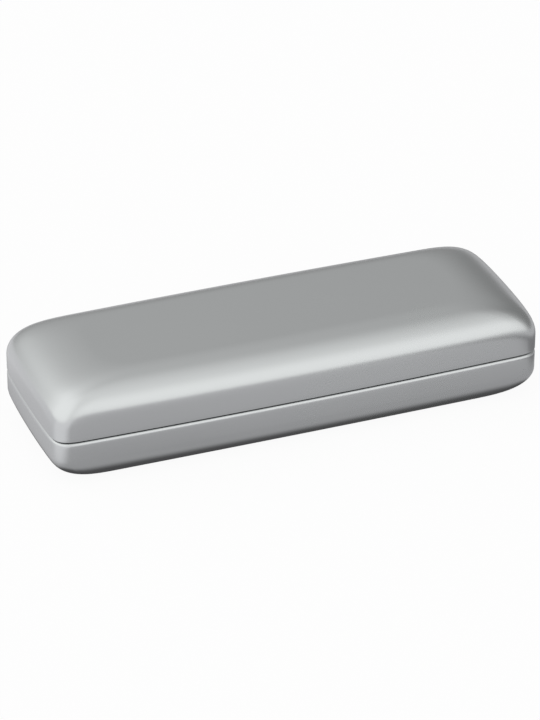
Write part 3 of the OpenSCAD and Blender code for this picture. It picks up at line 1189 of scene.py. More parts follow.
@dataclass(frozen=True)
class PencilBed:
    """Foam bed with a groove for each pencil and a finger trough across the middle."""

    plan: CasePlan
    centres: Array
    pencil_z: float
    pencil_r: float
    pencil_l: float
    finish: Finish
    groove_clearance: float = 0.28
    groove_end_gap: float = 1.0
    groove_end_lead: float = 0.2
    groove_end_w: float = 0.7
    ridge_ease: float = 0.3
    trough_r: float = 14.0
    trough_depth: float = 9.0
    trough_sweep: float = 1.45
    crease_w: float = 0.5
    edge_r: float = 0.5
    edge_steps: int = 4
    turn_steps: int = 10
    lines_per_groove: int = 18
    side_lines: tuple[float, ...] = (0.15, 0.35, 0.6, 0.85, 1.2, 2.0)
    trough_stations: int = 22
    plain_stations: int = 16
    end_stations: int = 10
    plain_gaps: tuple[float, float] = (1.5, 3.0)
    end_stretch: tuple[float, float] = (0.8, 0.5)

    @property
    def top_z(self) -> float:
        """Height of the foam's top."""
        return box_mm("pencil_bed")[1][2]

    @property
    def end(self) -> float:
        """Distance from the middle to the ends of the grooves."""
        return self.pencil_l / 2 + self.groove_end_gap

    def height(self, x: Array, y: Array) -> Array:
        """Height of the foam at a place: the lowest of its top, the groove of the nearest
        pencil, z - sqrt(r^2 - d^2) with its ridges eased, and the trough's circle.

        Args:
            x: Place along X.
            y: Place along Y.

        Returns:
            The height.
        """
        groove_r = self.pencil_r + self.groove_clearance
        pitch = self.centres[1] - self.centres[0]
        nearest = np.clip(np.round((y - self.centres[0]) / pitch), 0, len(self.centres) - 1)
        away = np.abs(y - self.centres[0] - nearest * pitch)
        ridge = pitch / 2 - away
        between = (y > self.centres[0]) & (y < self.centres[-1])
        away = np.where(between, pitch / 2 - np.sqrt(ridge**2 + self.ridge_ease**2), away)
        groove = self.pencil_z - half_circle(groove_r, away)
        inside = smooth_step((self.end + self.groove_end_lead - np.abs(x)) / self.groove_end_w)
        groove = self.top_z + (np.minimum(groove, self.top_z) - self.top_z) * inside
        trough_z = self.top_z - self.trough_depth + self.trough_r
        return soft_minimum(groove, trough_z - half_circle(self.trough_r, x), self.crease_w)

    def stations(self) -> Array:
        """Chooses places along X, close together at the trough and the ends of the grooves.

        Returns:
            The places, in order.
        """
        trough = self.trough_r * np.sin(np.linspace(0, self.trough_sweep, self.trough_stations))
        before, after = self.end_stretch
        groove_end = np.linspace(self.end - before, self.end + after, self.end_stations)
        near, far = self.plain_gaps
        between = np.linspace(self.trough_r + near, self.end - far, self.plain_stations)
        right = np.concatenate([trough, between, groove_end])
        return np.unique(np.concatenate([-right, right]).round(6))

    def lines(self) -> Array:
        """Chooses places along Y, evenly over each groove and on past the foam's sides.

        Returns:
            The places, in order.
        """
        pitch = self.centres[1] - self.centres[0]
        step = pitch / self.lines_per_groove
        count = len(self.centres) * self.lines_per_groove
        inner = self.centres[0] - pitch / 2 + step * np.arange(count + 1)
        rim = np.array(self.side_lines)
        return np.concatenate([inner[0] - rim[::-1], inner, inner[-1] + rim])

    def build(self) -> None:
        """Makes the top as a height over a grid that follows the outline, and the skirt below
        it as rings whose heights shrink with the top's height at the border."""
        shares = np.append(0.0, self.plan.outline().share_at(self.stations()))
        outline = self.plan.outline(shares)
        outside = self.plan.insets("base_liner") + self.plan.liner_t + self.plan.bed_clearance
        low_z = box_mm("pencil_bed")[0][2]
        form = self.plan.base_form
        wall_z = self.plan.seam_z - form.wall_h
        a = quarter(self.edge_steps)
        round_off = self.edge_r * (1 - np.sin(a))[:, None]
        drop = self.edge_r * (1 - np.cos(a))
        levels = (
            outline.wall(outside + round_off, self.top_z - drop)
            + outline.turn(form, outside, low_z, wall_z, self.turn_steps).reversed()
        )
        rings = outline.rings(levels)
        half = rings.shape[1] // 2
        first = -(outline.corner_steps + outline.end_steps // 2)
        front = np.roll(rings[0], -first, axis=0)[: half + 1]
        back = np.roll(rings[0][::-1], first + 1, axis=0)[: half + 1]
        x = front[:, :1]
        y = np.concatenate([front[:, 1:2], 0 * x + self.lines(), back[:, 1:2]], axis=1)
        y = np.clip(y, front[:, 1:2], back[:, 1:2])
        top = np.stack([x + 0 * y, y, self.height(x, y)], -1)
        border = self.height(rings[0][:, 0], rings[0][:, 1])
        share = (border - low_z) / (self.top_z - low_z)
        rings[..., 2] = low_z + (rings[..., 2] - low_z) * share
        solid = Solid()
        solid.add_grid(top, close_columns=False)
        solid.add_caps(solid.add_grid(rings), last_only=True)
        piece = solid.piece("pencil_bed_foam", [self.finish], sharp_deg=60.0)
        attach(piece, Body.BASE.value, "pencil_bed")


@dataclass(frozen=True)
class LidPad:
    """Thin foam pad under the lid's lining, with a pressed line near its border."""

    finish: Finish
    corner_r: float = 10.68
    bow: float = 0.03
    edge_r: float = 1.1
    line_inset: float = 4.5
    line_w: float = 0.9
    line_depth: float = 0.7
    sag: float = 0.25
    sag_reach: float = 6.0
    middle_inset: float = 11.5
    edge_inset: float = 1.4
    ring_count: int = 44
    edge_steps: int = 6
    corner_steps: int = 16

    def build(self) -> None:
        """Makes the pad from rings. Its lower face sags a little towards the middle, by
        sag (1 - e^(-inset / reach)), and the pressed line is a smooth dip in it."""
        low, high = box_mm("lid_pad")
        size = high - low
        bow, steps = self.bow, self.corner_steps
        outline = Outline(size[0], size[1], self.corner_r, bow, bow, corner_steps=steps)
        a = quarter(self.edge_steps)
        edge = self.edge_r * (1 - np.sin(a))
        flat = np.linspace(self.middle_inset, self.edge_inset, self.ring_count)
        inset = np.concatenate([flat, edge])
        dip = np.exp(-(((inset - self.line_inset) / self.line_w * 2) ** 2)) * self.line_depth
        crown = self.sag * (1 - np.exp(-inset / self.sag_reach))
        rise = np.concatenate([0 * flat, self.edge_r * (1 - np.cos(a))])
        bottom = low[2] + self.sag - crown + dip + rise
        insets = np.append(inset, 0.0)[:, None] * np.ones(3)
        radii = np.maximum(self.corner_r - insets[:, 0], 0.6)
        bows = np.full(len(radii), outline.side_bow)
        levels = Levels(insets, radii, bows, 0 * bows, np.append(bottom, high[2]), 0 * bows)
        solid = Solid()
        solid.add_caps(solid.add_grid(outline.rings(levels) + [*((low + high) / 2)[:2], 0]))
        piece = solid.piece("lid_pad_foam", [self.finish], sharp_deg=60.0)
        attach(piece, Body.LID.value, "lid_pad")


def smooth_step(t: Array) -> Array:
    """0 below 0, 1 above 1, and 3 t^2 - 2 t^3 between."""
    t = np.clip(t, 0, 1)
    return t * t * (3 - 2 * t)


def half_circle(r: float, away: Array) -> Array:
    """Height of a circle over a place away from its middle, sqrt(r^2 - away^2), at least 0.1."""
    return np.sqrt(np.maximum(r**2 - away**2, 0.01))


def soft_minimum(a: Array, b: Array, width: float) -> Array:
    """Smaller of two heights, with the crease between them rounded over about width:
    (a + b - sqrt((a - b)^2 + width^2)) / 2."""
    return (a + b - np.sqrt((a - b) ** 2 + width**2)) / 2


# ---- Hinge, springs and rivets ----


@dataclass(frozen=True)
class HingeLeaf:
    """Steel leaf behind a rim, with tongues across the rim and curled knuckles."""

    name: str
    node: str
    body: Body
    side: Side
    knuckles: Sequence[tuple[float, float]]
    bore_r: float
    plan: CasePlan
    finish: Finish
    barrel_r: float = 1.6
    bend_r: float = 0.45
    bend_steps: int = 6
    bevel_w: float = 0.08
    end_edge_r: float = 0.18
    end_steps: int = 3
    bore_edge_share: float = 0.4
    curl_deg: float = 38.0
    curl_gap_depth: float = 0.25
    curl_gap_w: float = 0.07
    sides: int = 72

    def strip(self) -> Array:
        """Section of the bent strip in each column along X, as a closed loop: up the leaf,
        around the bend and out along the tongue. Between tongues the loop ends at the leaf.

        Returns:
            Points, in one row for each column.
        """
        plan = self.plan
        inner, outer = plan.leaf_y - plan.leaf_t, plan.leaf_y
        tip = plan.hinge_y - (self.barrel_r + self.bore_r) / 2
        near, far = plan.leaf_gap, plan.leaf_gap + plan.leaf_t
        a = quarter(self.bend_steps)[::-1]
        bend_y = inner + self.bend_r * (1 - np.sin(a))
        bend_z = near + self.bend_r * (1 - np.cos(a))
        y = np.concatenate([[inner], bend_y, [tip, tip, outer, outer]])
        z = np.concatenate([[near + plan.leaf_h], bend_z, [near, far, far, near + plan.leaf_h]])
        low, high = box_mm(self.node)
        edges = np.array([(x, x + length) for x, length in self.knuckles]).ravel()
        nudge = 1e-5
        columns = np.concatenate([[low[0]], (edges[:, None] + [-nudge, nudge]).ravel(), [high[0]]])
        columns = np.clip(np.sort(columns), low[0], high[0])
        inside = np.any([(columns > x) & (columns < x + length) for x, length in self.knuckles], axis=0)
        reach = np.where(inside, tip, outer)
        loops = np.empty((len(columns), len(y), 3))
        loops[..., 0] = columns[:, None]
        loops[..., 1] = np.minimum(y, reach[:, None])
        loops[..., 2] = plan.seam_z + self.side * z
        return loops

    def knuckle(self, x: float, length: float) -> Array:
        """Ring around the hinge's axis whose end edges are rounded, with the gap where the
        curled strip meets itself: the outer radius dips by depth e^(-(turn / width)^2) there.

        Args:
            x: Place of the knuckle's left end.
            length: Length of the knuckle.

        Returns:
            Points, in closed rows around the axis.
        """
        e, share = self.end_edge_r, self.bore_edge_share
        a = quarter(self.end_steps)
        outer = self.barrel_r - e * (1 - np.sin(a))
        inner = self.bore_r + share * e * (1 - np.sin(a))
        xs = e * (1 - np.cos(a))
        end = x + length
        sides = [x + xs, (end - xs)[::-1], end - share * xs, (x + share * xs)[::-1]]
        rows_x = np.concatenate(sides)
        rows_r = np.concatenate([outer, outer[::-1], inner, inner[::-1]])
        points = revolved(np.stack([rows_x, rows_r], 1), self.sides)
        t = np.arange(self.sides) * TURN / self.sides
        gap = math.pi + self.side * -math.radians(self.curl_deg)
        turn = np.angle(np.exp(1j * (t - gap)))
        dip = self.curl_gap_depth * np.exp(-((turn / self.curl_gap_w) ** 2))
        scale = 1 - dip / self.barrel_r * (rows_r > self.barrel_r - e - 0.01)[:, None]
        points[..., 1:] *= scale[..., None]
        return points + [0, self.plan.hinge_y, self.plan.seam_z]

    def build(self) -> None:
        """Makes the strip and its knuckles, with the sheet's edges broken by a small bevel."""
        solid = Solid()
        solid.add_caps(solid.add_grid(self.strip()))
        solid.end_part()
        for x, length in self.knuckles:
            solid.add_grid(self.knuckle(x, length), close_rows=True)
            solid.end_part()
        piece = solid.piece(self.name, [self.finish])
        break_edges(piece.data, self.bevel_w)
        attach(piece, self.body.value, self.node)


@dataclass(frozen=True)
class HingePin:
    """Steel pin with a domed head at each end."""

    plan: CasePlan
    finish: Finish
    pin_r: float = 0.8
    head_r: float = 1.3
    head_t: float = 0.5
    neck_l: float = 0.02
    pole_r: float = 0.08
    dome_steps: int = 6
    sides: int = 40

    def build(self) -> None:
        """Makes the pin by turning its profile around the hinge's axis."""
        low, high = box_mm("hinge_pin")
        a = quarter(self.dome_steps)
        dome = np.stack([self.head_t * (1 - np.sin(a)), self.head_r * np.cos(a)], 1)[::-1]
        dome[:, 1] = np.maximum(dome[:, 1], self.pole_r)
        shank = np.array([[self.head_t, self.pin_r], [self.head_t + self.neck_l, self.pin_r]])
        left = np.concatenate([dome, shank])
        right = left[::-1] * [-1, 1] + [high[0] - low[0], 0]
        profile = np.concatenate([left, right]) + [low[0], 0]
        points = revolved(profile, self.sides) + [0, self.plan.hinge_y, self.plan.seam_z]
        solid = Solid()
        solid.add_caps(solid.add_grid(points))
        piece = solid.piece("hinge_pin_steel", [self.finish], sharp_deg=35.0)
        attach(piece, Body.BASE.value, "hinge_pin")


@dataclass(frozen=True)
class Rivets:
    """Row of rivets through a leaf and the rear wall, with domed heads outside."""

    name: str
    node: str
    body: Body
    plan: CasePlan
    finish: Finish
    row_x: tuple[float, float, float] = (-40.0, 0.0, 40.0)
    shank_r: float = 1.0
    head_r: float = 1.8
    head_t: float = 0.5
    head_foot_h: float = 0.12
    head_foot: tuple[float, float] = (0.05, 0.08)
    tail_r: float = 1.5
    tail_edge: float = 0.1
    pole_r: float = 0.06
    dome_steps: int = 8
    sides: int = 40

    def build(self) -> None:
        """Makes each rivet by turning its profile around Y. The head is the ellipse arc with
        the radius head_r and the height head_t, with a rounded foot."""
        low, high = box_mm(self.node)
        z = (low[2] + high[2]) / 2
        side_r = self.plan.outline().side_arc_r
        solid = Solid()
        for x in self.row_x:
            wall_y = self.plan.half_size[1] - (side_r - math.sqrt(side_r**2 - x * x))
            a = quarter(self.dome_steps)
            rise = self.head_foot_h + (self.head_t - self.head_foot_h) * np.sin(a)
            dome = np.stack([rise, self.head_r * np.cos(a)], 1)
            dome[-1, 1] = self.pole_r
            foot_h, foot_w = self.head_foot
            foot = [[0.0, self.head_r - foot_w], [foot_h, self.head_r]]
            head = np.concatenate([foot, dome]) + [wall_y, 0]
            shank = np.array([[low[1] + self.head_t, self.shank_r], [wall_y, self.shank_r]])
            flat_r = self.tail_r - self.tail_edge
            tail = np.array([[0.0, self.pole_r], [0.0, flat_r], [self.tail_edge, self.tail_r]])
            collar = np.array([[self.head_t, self.tail_r]]) + [low[1], 0]
            profile = np.concatenate([tail + [low[1], 0], collar, shank, head])
            around = revolved(profile, self.sides)
            points = np.stack([around[..., 1] + x, around[..., 0], around[..., 2] + z], -1)
            solid.add_caps(solid.add_grid(points))
            solid.end_part()
        attach(solid.piece(self.name, [self.finish], sharp_deg=35.0), self.body.value, self.node)


@dataclass(frozen=True)
class TorsionSpring:
    """Coil around the hinge pin, with one leg on the base's wall and one on the lid's."""

    node: str
    plan: CasePlan
    finish: Finish
    wire_r: float = 0.3
    coil_r: float = 1.25
    turns: int = 6
    leg_l: float = 5.5
    steps_per_turn: int = 28
    sides: int = 12

    def centre_line(self) -> tuple[Array, Array, Array]:
        """Line of the wire. The coil is (x along the pin, -r cos a, r sin a), and each leg is
        straight along Z and ends in a half ball.

        Returns:
            The points, the direction away from the hinge's axis and the wire's radius at each.
        """
        low, high = box_mm(self.node)
        start, end = low[0] + self.wire_r, high[0] - self.wire_r
        ball = quarter(4)[1:]
        straight = np.linspace(self.leg_l - self.wire_r, 0, 10)[1:-1]
        leg = np.concatenate([self.leg_l - self.wire_r * (1 - np.cos(ball)), straight])
        leg_r = self.wire_r * np.concatenate([np.sin(ball), np.ones_like(straight)])
        a = np.linspace(0, self.turns * TURN, self.turns * self.steps_per_turn + 1)
        x = start + (end - start) * a / a[-1]
        x = np.concatenate([start + 0 * leg, x, end + 0 * leg])
        rise = np.concatenate([-leg, 0 * a, leg[::-1]])
        radius = np.concatenate([leg_r, self.wire_r + 0 * a, leg_r[::-1]])
        a = np.concatenate([0 * leg, a, 0 * leg])
        away = np.stack([0 * a, -np.cos(a), np.sin(a)], -1)
        line = self.coil_r * away + [0, self.plan.hinge_y, self.plan.seam_z]
        line[:, 0] = x
        line[:, 2] += rise
        return line, away, radius

    def build(self) -> None:
        """Makes the wire: a circle of its radius around every point of the line."""
        line, away, radius = self.centre_line()
        along = np.gradient(line, axis=0)
        along /= np.linalg.norm(along, axis=1, keepdims=True)
        out = away - along * np.sum(away * along, axis=1, keepdims=True)
        out /= np.linalg.norm(out, axis=1, keepdims=True)
        across = np.cross(along, out)
        t = np.arange(self.sides) * TURN / self.sides
        around = out[:, None] * np.cos(t)[:, None] + across[:, None] * np.sin(t)[:, None]
        points = line[:, None] + around * radius[:, None, None]
        solid = Solid()
        solid.add_caps(solid.add_grid(points))
        piece = solid.piece(self.node + "_wire", [self.finish], sharp_deg=60.0)
        low, high = box_mm(self.node)
        axis = np.array([0.0, self.plan.hinge_y, self.plan.seam_z]) * MM
        start, end = axis.copy(), axis.copy()
        start[0] = (low[0] + 2 * self.wire_r) * MM
        end[0] = (high[0] - 2 * self.wire_r) * MM
        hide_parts(self.node)
        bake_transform(piece)
        LOG.info("%s bends between base and lid", piece.name)


# ---- Pencils ----


@dataclass(frozen=True)
class Pencil:
    """Hexagonal pencil with a sharpened wooden cone and a colored core."""

    number: int
    lacquer: Finish
    wood: Finish
    wax: Finish
    core_r: float = 1.65
    point_deg: float = 10.5
    tip_r: float = 0.4
    corner_r: float = 3.74
    corner_ease: float = 0.05
    end_edge: tuple[tuple[float, float], ...] = ((0.0, 0.3), (0.03, 0.14), (0.12, 0.04))
    edge_l: float = 0.3
    waves: tuple[tuple[float, int, float], ...] = ((0.16, 5, 1.0), (0.1, 11, 2.3))
    wood_wave: float = 0.25
    wood_step: float = 0.05
    wood_edge: float = 0.15
    paint_t: float = 0.06
    core_play: float = 0.02
    core_edge: float = 0.06
    point_play: float = 0.03
    sunk_l: float = 1.5
    tip_l: float = 0.35
    pole_r: float = 0.05
    steps: int = 96
    paint_steps: int = 6
    wood_steps: int = 8
    core_sides: int = 48

    @property
    def casing(self) -> str:
        """CAD node of the casing."""
        return f"pencil_{self.number}_casing"

    @property
    def core(self) -> str:
        """CAD node of the core."""
        return f"pencil_{self.number}_core"

    def centre(self) -> Array:
        """Blunt end of the pencil's axis."""
        low, high = box_mm(self.casing)
        return np.array([low[0], (low[1] + high[1]) / 2, (low[2] + high[2]) / 2])

    def section(self, t: Array) -> Array:
        """Radius of the lacquered hexagon: flats / 2 over the cosine of the angle from the
        nearest flat, with the corners eased to corner_r.

        Args:
            t: Angle from straight up.

        Returns:
            The radius.
        """
        low, high = box_mm(self.casing)
        flat = (high[1] - low[1]) / 2
        away = (t % (math.pi / 3)) - math.pi / 6
        sharp = flat / np.cos(away)
        gap = sharp - self.corner_r
        return (sharp + self.corner_r - np.sqrt(gap**2 + self.corner_ease**2)) / 2

    def cone(self, x: Array, length: float) -> Array:
        """Radius of the sharpened cone at x, counted from the blunt end."""
        return self.tip_r + (length - x) * math.tan(math.radians(self.point_deg))

    def build_casing(self, length: float) -> None:
        """Makes the casing from rows around its axis. The lacquer ends where the hexagon meets
        the sharpener's cone, which draws its scallops, and the wood goes on to the core.

        Args:
            length: Length of the pencil.
        """
        t = np.arange(self.steps) * TURN / self.steps
        hexagon = self.section(t)
        slope = math.tan(math.radians(self.point_deg))
        wobble = sum(h * np.sin(n * t + shift * self.number) for h, n, shift in self.waves)
        border = length - (hexagon - self.tip_r) / slope + wobble
        wood_r = self.core_r + self.wood_edge
        wood_end = length - (wood_r - self.tip_r) / slope + self.wood_wave * wobble
        flat = np.ones(self.steps)
        painted = np.linspace(0.0, 1.0, self.paint_steps + 1)[:, None]
        bare = np.linspace(0.0, 1.0, self.wood_steps + 1)[:, None]
        rows = [(0.0 * flat, self.core_r * flat)]
        rows += [(x * flat, hexagon - inside) for x, inside in self.end_edge]
        rows += [(self.edge_l + (border - self.edge_l) * s, hexagon) for s in painted]
        start = border + self.wood_step
        cone_x = [start + (wood_end - start) * s for s in bare]
        rows += [(x, np.minimum(self.cone(x, length), hexagon) - self.paint_t) for x in cone_x]
        rows += [(wood_end + self.core_play, (self.core_r + self.core_play) * flat)]
        rows += [(wood_end - self.sunk_l, self.core_r * flat)]
        x = np.array([row[0] for row in rows])
        r = np.array([row[1] for row in rows])
        grid = np.stack([x, r * np.sin(t), r * np.cos(t)], -1) + self.centre()
        bands = np.ones(len(rows), int)
        bands[1 : len(self.end_edge) + len(painted)] = 0
        solid = Solid()
        solid.add_grid(grid, close_rows=True, finish=bands)
        piece = solid.piece(f"pencil_{self.number}_barrel", [self.lacquer, self.wood], sharp_deg=32.0)
        attach(piece, f"pencil_{self.number}", self.casing)

    def build_core(self, length: float) -> None:
        """Makes the core by turning its profile: a rod, the cone and a rounded tip.

        Args:
            length: Length of the pencil.
        """
        slope = math.tan(math.radians(self.point_deg))
        rod_r = self.core_r - self.core_play
        shoulder = length - (rod_r - self.tip_r) / slope
        tip = quarter(5)
        tip_x = length - self.tip_l
        cone_x = np.linspace(shoulder - 1, tip_x, 10)
        cone_r = np.minimum(self.cone(cone_x, length), rod_r) - self.point_play
        tip_r = (float(self.cone(np.array(tip_x), length)) - self.point_play) * np.cos(tip)
        x = np.concatenate([[0, self.core_edge], cone_x, tip_x + self.tip_l * np.sin(tip)])
        r = np.concatenate([[rod_r - self.core_edge, rod_r], cone_r, np.maximum(tip_r, self.pole_r)])
        points = revolved(np.stack([x, r], 1), self.core_sides) + self.centre()
        solid = Solid()
        solid.add_caps(solid.add_grid(points))
        piece = solid.piece(f"pencil_{self.number}_lead", [self.wax], sharp_deg=32.0)
        attach(piece, f"pencil_{self.number}", self.core)

    def build(self) -> None:
        """Makes the casing and the core."""
        length = box_mm(self.core)[1][0] - box_mm(self.core)[0][0]
        self.build_casing(length)
        self.build_core(length)


# ---- Camera, light and floor ----


@dataclass(frozen=True)
class View:
    """Camera that looks at the closed case from its front left, from a long way off."""

    azimuth_deg: float = -20.87
    elevation_deg: float = 30.23
    distance: float = 1496.1
    shift_right: float = 0.82
    shift_up: float = -3.19
    target: tuple[float, float, float] = (0.0, 0.0, 14.88)
    lens_px: float = 3851.0
    image_px: int = 720
    sensor_w: float = 36.0

    def build(self) -> None:
        """Makes the camera. It stands at target + distance * back, moved aside in its own plane."""
        az, el = math.radians(self.azimuth_deg), math.radians(self.elevation_deg)
        back = Vector((math.sin(az) * math.cos(el), -math.cos(az) * math.cos(el), math.sin(el)))
        right = Vector((math.cos(az), math.sin(az), 0.0))
        up = back.cross(right)
        place = Vector(self.target) + self.distance * back
        place -= self.shift_right * right + self.shift_up * up
        data = bpy.data.cameras.new("camera")
        data.sensor_width = self.sensor_w
        data.lens = self.lens_px / self.image_px * self.sensor_w
        made = bpy.data.objects.new("camera", data)
        rotation = Matrix((right, up, back)).transposed().to_4x4()
        made.matrix_world = Matrix.Translation(place * MM) @ rotation
        bpy.context.scene.collection.objects.link(made)
        bpy.context.scene.camera = made


@dataclass(frozen=True)
class Glow:
    """Soft bright region of the studio's walls. Its middle lies at an angle to the right of the
    front and one above the horizon. It has its whole strength within the angle full_deg of there
    and is gone at the angle gone_deg."""

    azimuth_deg: float
    elevation_deg: float
    full_deg: float
    gone_deg: float
    amount: float

    @property
    def direction(self) -> tuple[float, float, float]:
        """Unit vector towards the middle of the glow."""
        az, el = math.radians(self.azimuth_deg), math.radians(self.elevation_deg)
        return math.sin(az) * math.cos(el), -math.cos(az) * math.cos(el), math.sin(el)

    @property
    def cosines(self) -> tuple[float, float]:
        """Cosines of the angles at which the glow is gone and at which it is whole."""
        return math.cos(math.radians(self.gone_deg)), math.cos(math.radians(self.full_deg))


@dataclass(frozen=True)
class Studio:
    """Pale floor and the soft light of a studio's walls and ceiling."""

    floor_half: float = 3.0
    floor_tone: float = 0.8
    seen_share: float = 0.94
    ground_tone: float = 0.64
    wall_tone: float = 0.30
    front_wall: Glow = Glow(-45, 10, 65, 135, 0.75)
    left_window: Glow = Glow(-90, 20, 45, 75, 0.25)
    right_lamp: Glow = Glow(30, 10, 20, 45, 0.25)
    rear_strip: Glow = Glow(180, 40, 0, 45, 0.30)
    # Tones of the painted shadow under the case and of the painted light and shade around it, seen only
    # in reflections.
    contact_r: float = 7.6
    contact: tuple[float, float] = (-3.5, 3.5)
    painted_shadow_tone: float = 0.10
    front_tone: float = 0.50
    far_tone: float = 0.65
    painted_light_left: float = 0.20
    painted_light_corner: float = 0.30
    painted_shade_right: float = 0.35
    far_out: tuple[float, float] = (12, 46)
    left_out: tuple[float, float] = (98, 112)
    corner_out: tuple[float, float] = (106, 126)
    corner_front: tuple[float, float] = (0, 38)
    right_out: tuple[float, float] = (115, 132)
    right_end: tuple[float, float] = (146, 180)
    mirrored_color: Color = (1.0, 0.988, 1.012)

    def mirrored_tone(self, graph: Graph) -> Signal:
        """Tone that the metal mirrors in the floor, from 0 to 1. It is painted light and shade that
        only reflections show: a painted shadow under the case, painted shade around it that
        lightens with distance, a painted pool of light beyond its left end and its front left
        corner, and painted shade beyond its right end. The distance from the case is the length
        of max(|place| - half size + r, 0), less r.

        Args:
            graph: Graph of the floor's material.

        Returns:
            The tone.
        """
        place = graph.coordinates()
        x = graph.node("ShaderNodeSeparateXYZ", {}, {0: place}, "X") / MM
        y = graph.node("ShaderNodeSeparateXYZ", {}, {0: place}, "Y") / MM
        size, r = box_mm("lid_shell")[1], self.contact_r
        out_x = (x.magnitude() - (size[0] - r)).at_least(0.0)
        out_y = (y.magnitude() - (size[1] - r)).at_least(0.0)
        away = (out_x * out_x + out_y * out_y) ** 0.5 - r
        # Painted shade: the mirrored floor is darker near the case and lighter further off.
        tone = self.front_tone + (self.far_tone - self.front_tone) * away.smooth(*self.far_out)
        # Painted pool of light beyond the left end and the front left corner, painted shade beyond the
        # right end.
        left = (0 - x).smooth(*self.left_out)
        corner = (0 - x).smooth(*self.corner_out) * (0 - y).smooth(*self.corner_front)
        right = x.smooth(*self.right_out) * (1 - x.smooth(*self.right_end))
        tone = tone + self.painted_light_left * left + self.painted_light_corner * corner - self.painted_shade_right * right
        # Painted shadow: under the case and at its foot the mirrored tone falls to its darkest.
        lit = away.smooth(*self.contact)
        return (self.painted_shadow_tone + (tone - self.painted_shadow_tone) * lit).clamped()

    def build_floor(self) -> None:
        """Makes the floor. It looks white to the camera, keeps the object's shadow, and shows its
        mirrored tone, which is painted light and shade, in reflections."""
        s = self.floor_half
        mesh = bpy.data.meshes.new("floor")
        mesh.from_pydata([(-s, -s, 0), (s, -s, 0), (s, s, 0), (-s, s, 0)], [], [(0, 1, 2, 3)])
        material = bpy.data.materials.new("floor_paper")
        material.use_nodes = True
        graph = Graph(material.node_tree)
        tone = graph.noise(graph.coordinates(), 90.0, 3.0)
        color = graph.scaled((self.floor_tone,) * 3, 0.99 + 0.02 * tone)
        matt = graph.node("ShaderNodeBsdfDiffuse", {}, {"Color": color})
        white = graph.node("ShaderNodeEmission", {}, {"Color": (1, 1, 1, 1), "Strength": 1.0})
        seen = graph.node("ShaderNodeLightPath", output="Is Camera Ray")
        glossy = graph.node("ShaderNodeLightPath", output="Is Glossy Ray")
        clear = graph.node("ShaderNodeLightPath", output="Is Transmission Ray")
        share = ((seen + clear) * self.seen_share).clamped()
        direct = graph.node("ShaderNodeMixShader", {}, {0: share, 1: matt, 2: white})
        black = graph.node("ShaderNodeEmission", {}, {"Strength": 0.0})
        links = {"Color": (*self.mirrored_color, 1), "Strength": 1.0}
        cool = graph.node("ShaderNodeEmission", {}, links)
        # Reflections show this painted shadow and painted light and shade, not the lit floor.
        links = {0: self.mirrored_tone(graph), 1: black, 2: cool}
        mirrored = graph.node("ShaderNodeMixShader", {}, links)
        mixed = graph.node("ShaderNodeMixShader", {}, {0: glossy, 1: direct, 2: mirrored})
        graph.node("ShaderNodeOutputMaterial", {}, {"Surface": mixed})
        mesh.materials.append(material)
        made = bpy.data.objects.new("floor", mesh)
        bpy.context.scene.collection.objects.link(made)

    def build_world(self) -> None:
        """Makes the surrounding light: an even tone plus the glows, each a smooth step of the
        cosine between the direction and its middle. The camera sees plain white."""
        world = bpy.data.worlds.new("studio")
        bpy.context.scene.world = world
        world.use_nodes = True
        graph = Graph(world.node_tree)
        ray = graph.node("ShaderNodeTexCoord", output="Object")
        ray = graph.node("ShaderNodeVectorMath", {"operation": "NORMALIZE"}, {0: ray})
        level = self.wall_tone
        for glow in (self.front_wall, self.left_window, self.right_lamp, self.rear_strip):
            links = {0: ray, 1: glow.direction}
            cosine = graph.node("ShaderNodeVectorMath", {"operation": "DOT_PRODUCT"}, links, "Value")
            level = level + glow.amount * cosine.smooth(*glow.cosines)
        height = graph.node("ShaderNodeSeparateXYZ", {}, {0: ray}, "Z")
        above = height.smooth(-0.02, 0.02)
        level = level * above + self.ground_tone * (1 - above)
        seen = graph.node("ShaderNodeLightPath", output="Is Camera Ray")
        level = seen + level * (1 - seen)
        light = graph.node("ShaderNodeBackground", {}, {"Color": (1, 1, 1, 1), "Strength": level})
        graph.node("ShaderNodeOutputWorld", {}, {"Surface": light})

    def build(self) -> None:
        """Makes the floor and the world, and sets the plain view transform."""
        bpy.context.scene.view_settings.view_transform = "Standard"
        self.build_floor()
        self.build_world()


# ---- The whole tin ----


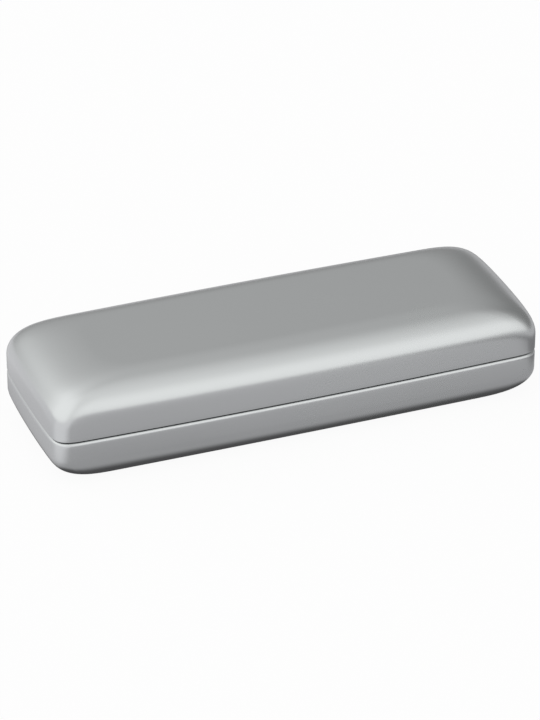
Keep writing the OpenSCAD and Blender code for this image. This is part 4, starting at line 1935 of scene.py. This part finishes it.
@dataclass(frozen=True)
class PencilTin:
    """The tin: its two shells and linings, hinge, springs, rivets, foam and pencils."""

    plan: CasePlan = field(default_factory=CasePlan)
    colors: tuple[str, ...] = (
        "brown", "red", "orange", "yellow", "green", "sky_blue", "blue", "violet",
    )
    base_knuckles: tuple[tuple[float, float], ...] = ((-55.0, 10.4), (-15.0, 30.0), (44.6, 10.4))
    lid_knuckles: tuple[tuple[float, float], ...] = ((-44.4, 17.0), (27.4, 17.0))
    base_edge: tuple[float, float] = (1.05, 1.5)
    lid_edge: tuple[float, float] = (0.3, 0.3)
    lid_corner_lift: float = -3.0

    def build_case(self) -> None:
        """Makes the shells and their linings."""
        plan = self.plan
        metal = SatinAluminium("satin_aluminium_sheet", "satin_aluminium")
        plastic = MouldedPlastic("moulded_lining", "dark_plastic")
        base = (Body.BASE, Side.BELOW, plan.base_form)
        lid = (Body.LID, Side.ABOVE, plan.lid_form)
        Shell(
            "base_shell_skin", "base_shell", *base, self.base_knuckles, plan, metal, self.base_edge
        ).build()
        Shell(
            "lid_shell_skin", "lid_shell", *lid, self.lid_knuckles, plan, metal, self.lid_edge,
            corner_lift=self.lid_corner_lift,
        ).build()
        Liner("base_lining", "base_liner", *base, plan, plastic).build()
        Liner("lid_lining", "lid_liner", *lid, plan, plastic).build()

    def build_hinge(self) -> None:
        """Makes the leaves, the pin, the springs and the rivets."""
        plan = self.plan
        steel = BrushedSteel("brushed_hinge_steel", "hinge_steel")
        wire = BrushedSteel("spring_wire", "spring_steel", 0.26)
        rivet = SatinAluminium("rivet_metal", "rivet_aluminium", 0.3)
        base, lid = (Body.BASE, Side.BELOW), (Body.LID, Side.ABOVE)
        HingeLeaf("base_leaf", "base_hinge_leaf", *base, self.base_knuckles, 0.82, plan, steel).build()
        HingeLeaf("lid_leaf", "lid_hinge_leaf", *lid, self.lid_knuckles, 0.85, plan, steel).build()
        HingePin(plan, steel).build()
        TorsionSpring("spring_left", plan, wire).build()
        TorsionSpring("spring_right", plan, wire).build()
        Rivets("base_rivet_row", "base_rivets", Body.BASE, plan, rivet).build()
        Rivets("lid_rivet_row", "lid_rivets", Body.LID, plan, rivet).build()

    def build_contents(self) -> None:
        """Makes the foam and the pencils."""
        foam = FlockedFoam("flocked_foam", "bed_foam")
        wood = BareWood("bare_cedar", "casing_brown")
        pencils = [
            Pencil(i + 1, Lacquer(f"lacquer_{c}", f"casing_{c}"), wood, WaxCore(f"wax_{c}", f"core_{c}"))
            for i, c in enumerate(self.colors)
        ]
        for pencil in pencils:
            pencil.build()
        first = box_mm(pencils[0].casing)
        centres = np.array([pencil.centre()[1] for pencil in pencils])
        pencil_z, pencil_r = pencils[0].centre()[2], (first[1][2] - first[0][2]) / 2
        length = box_mm(pencils[0].core)[1][0] - first[0][0]
        PencilBed(self.plan, centres, pencil_z, pencil_r, length, foam).build()
        LidPad(foam).build()


def main() -> None:
    """Builds everything in order and reports each piece."""
    logging.basicConfig(level=logging.INFO, format="%(name)s: %(message)s")
    View().build()
    Studio().build()
    tin = PencilTin()
    tin.build_case()
    tin.build_hinge()
    tin.build_contents()


if __name__ == "__main__":
    main()
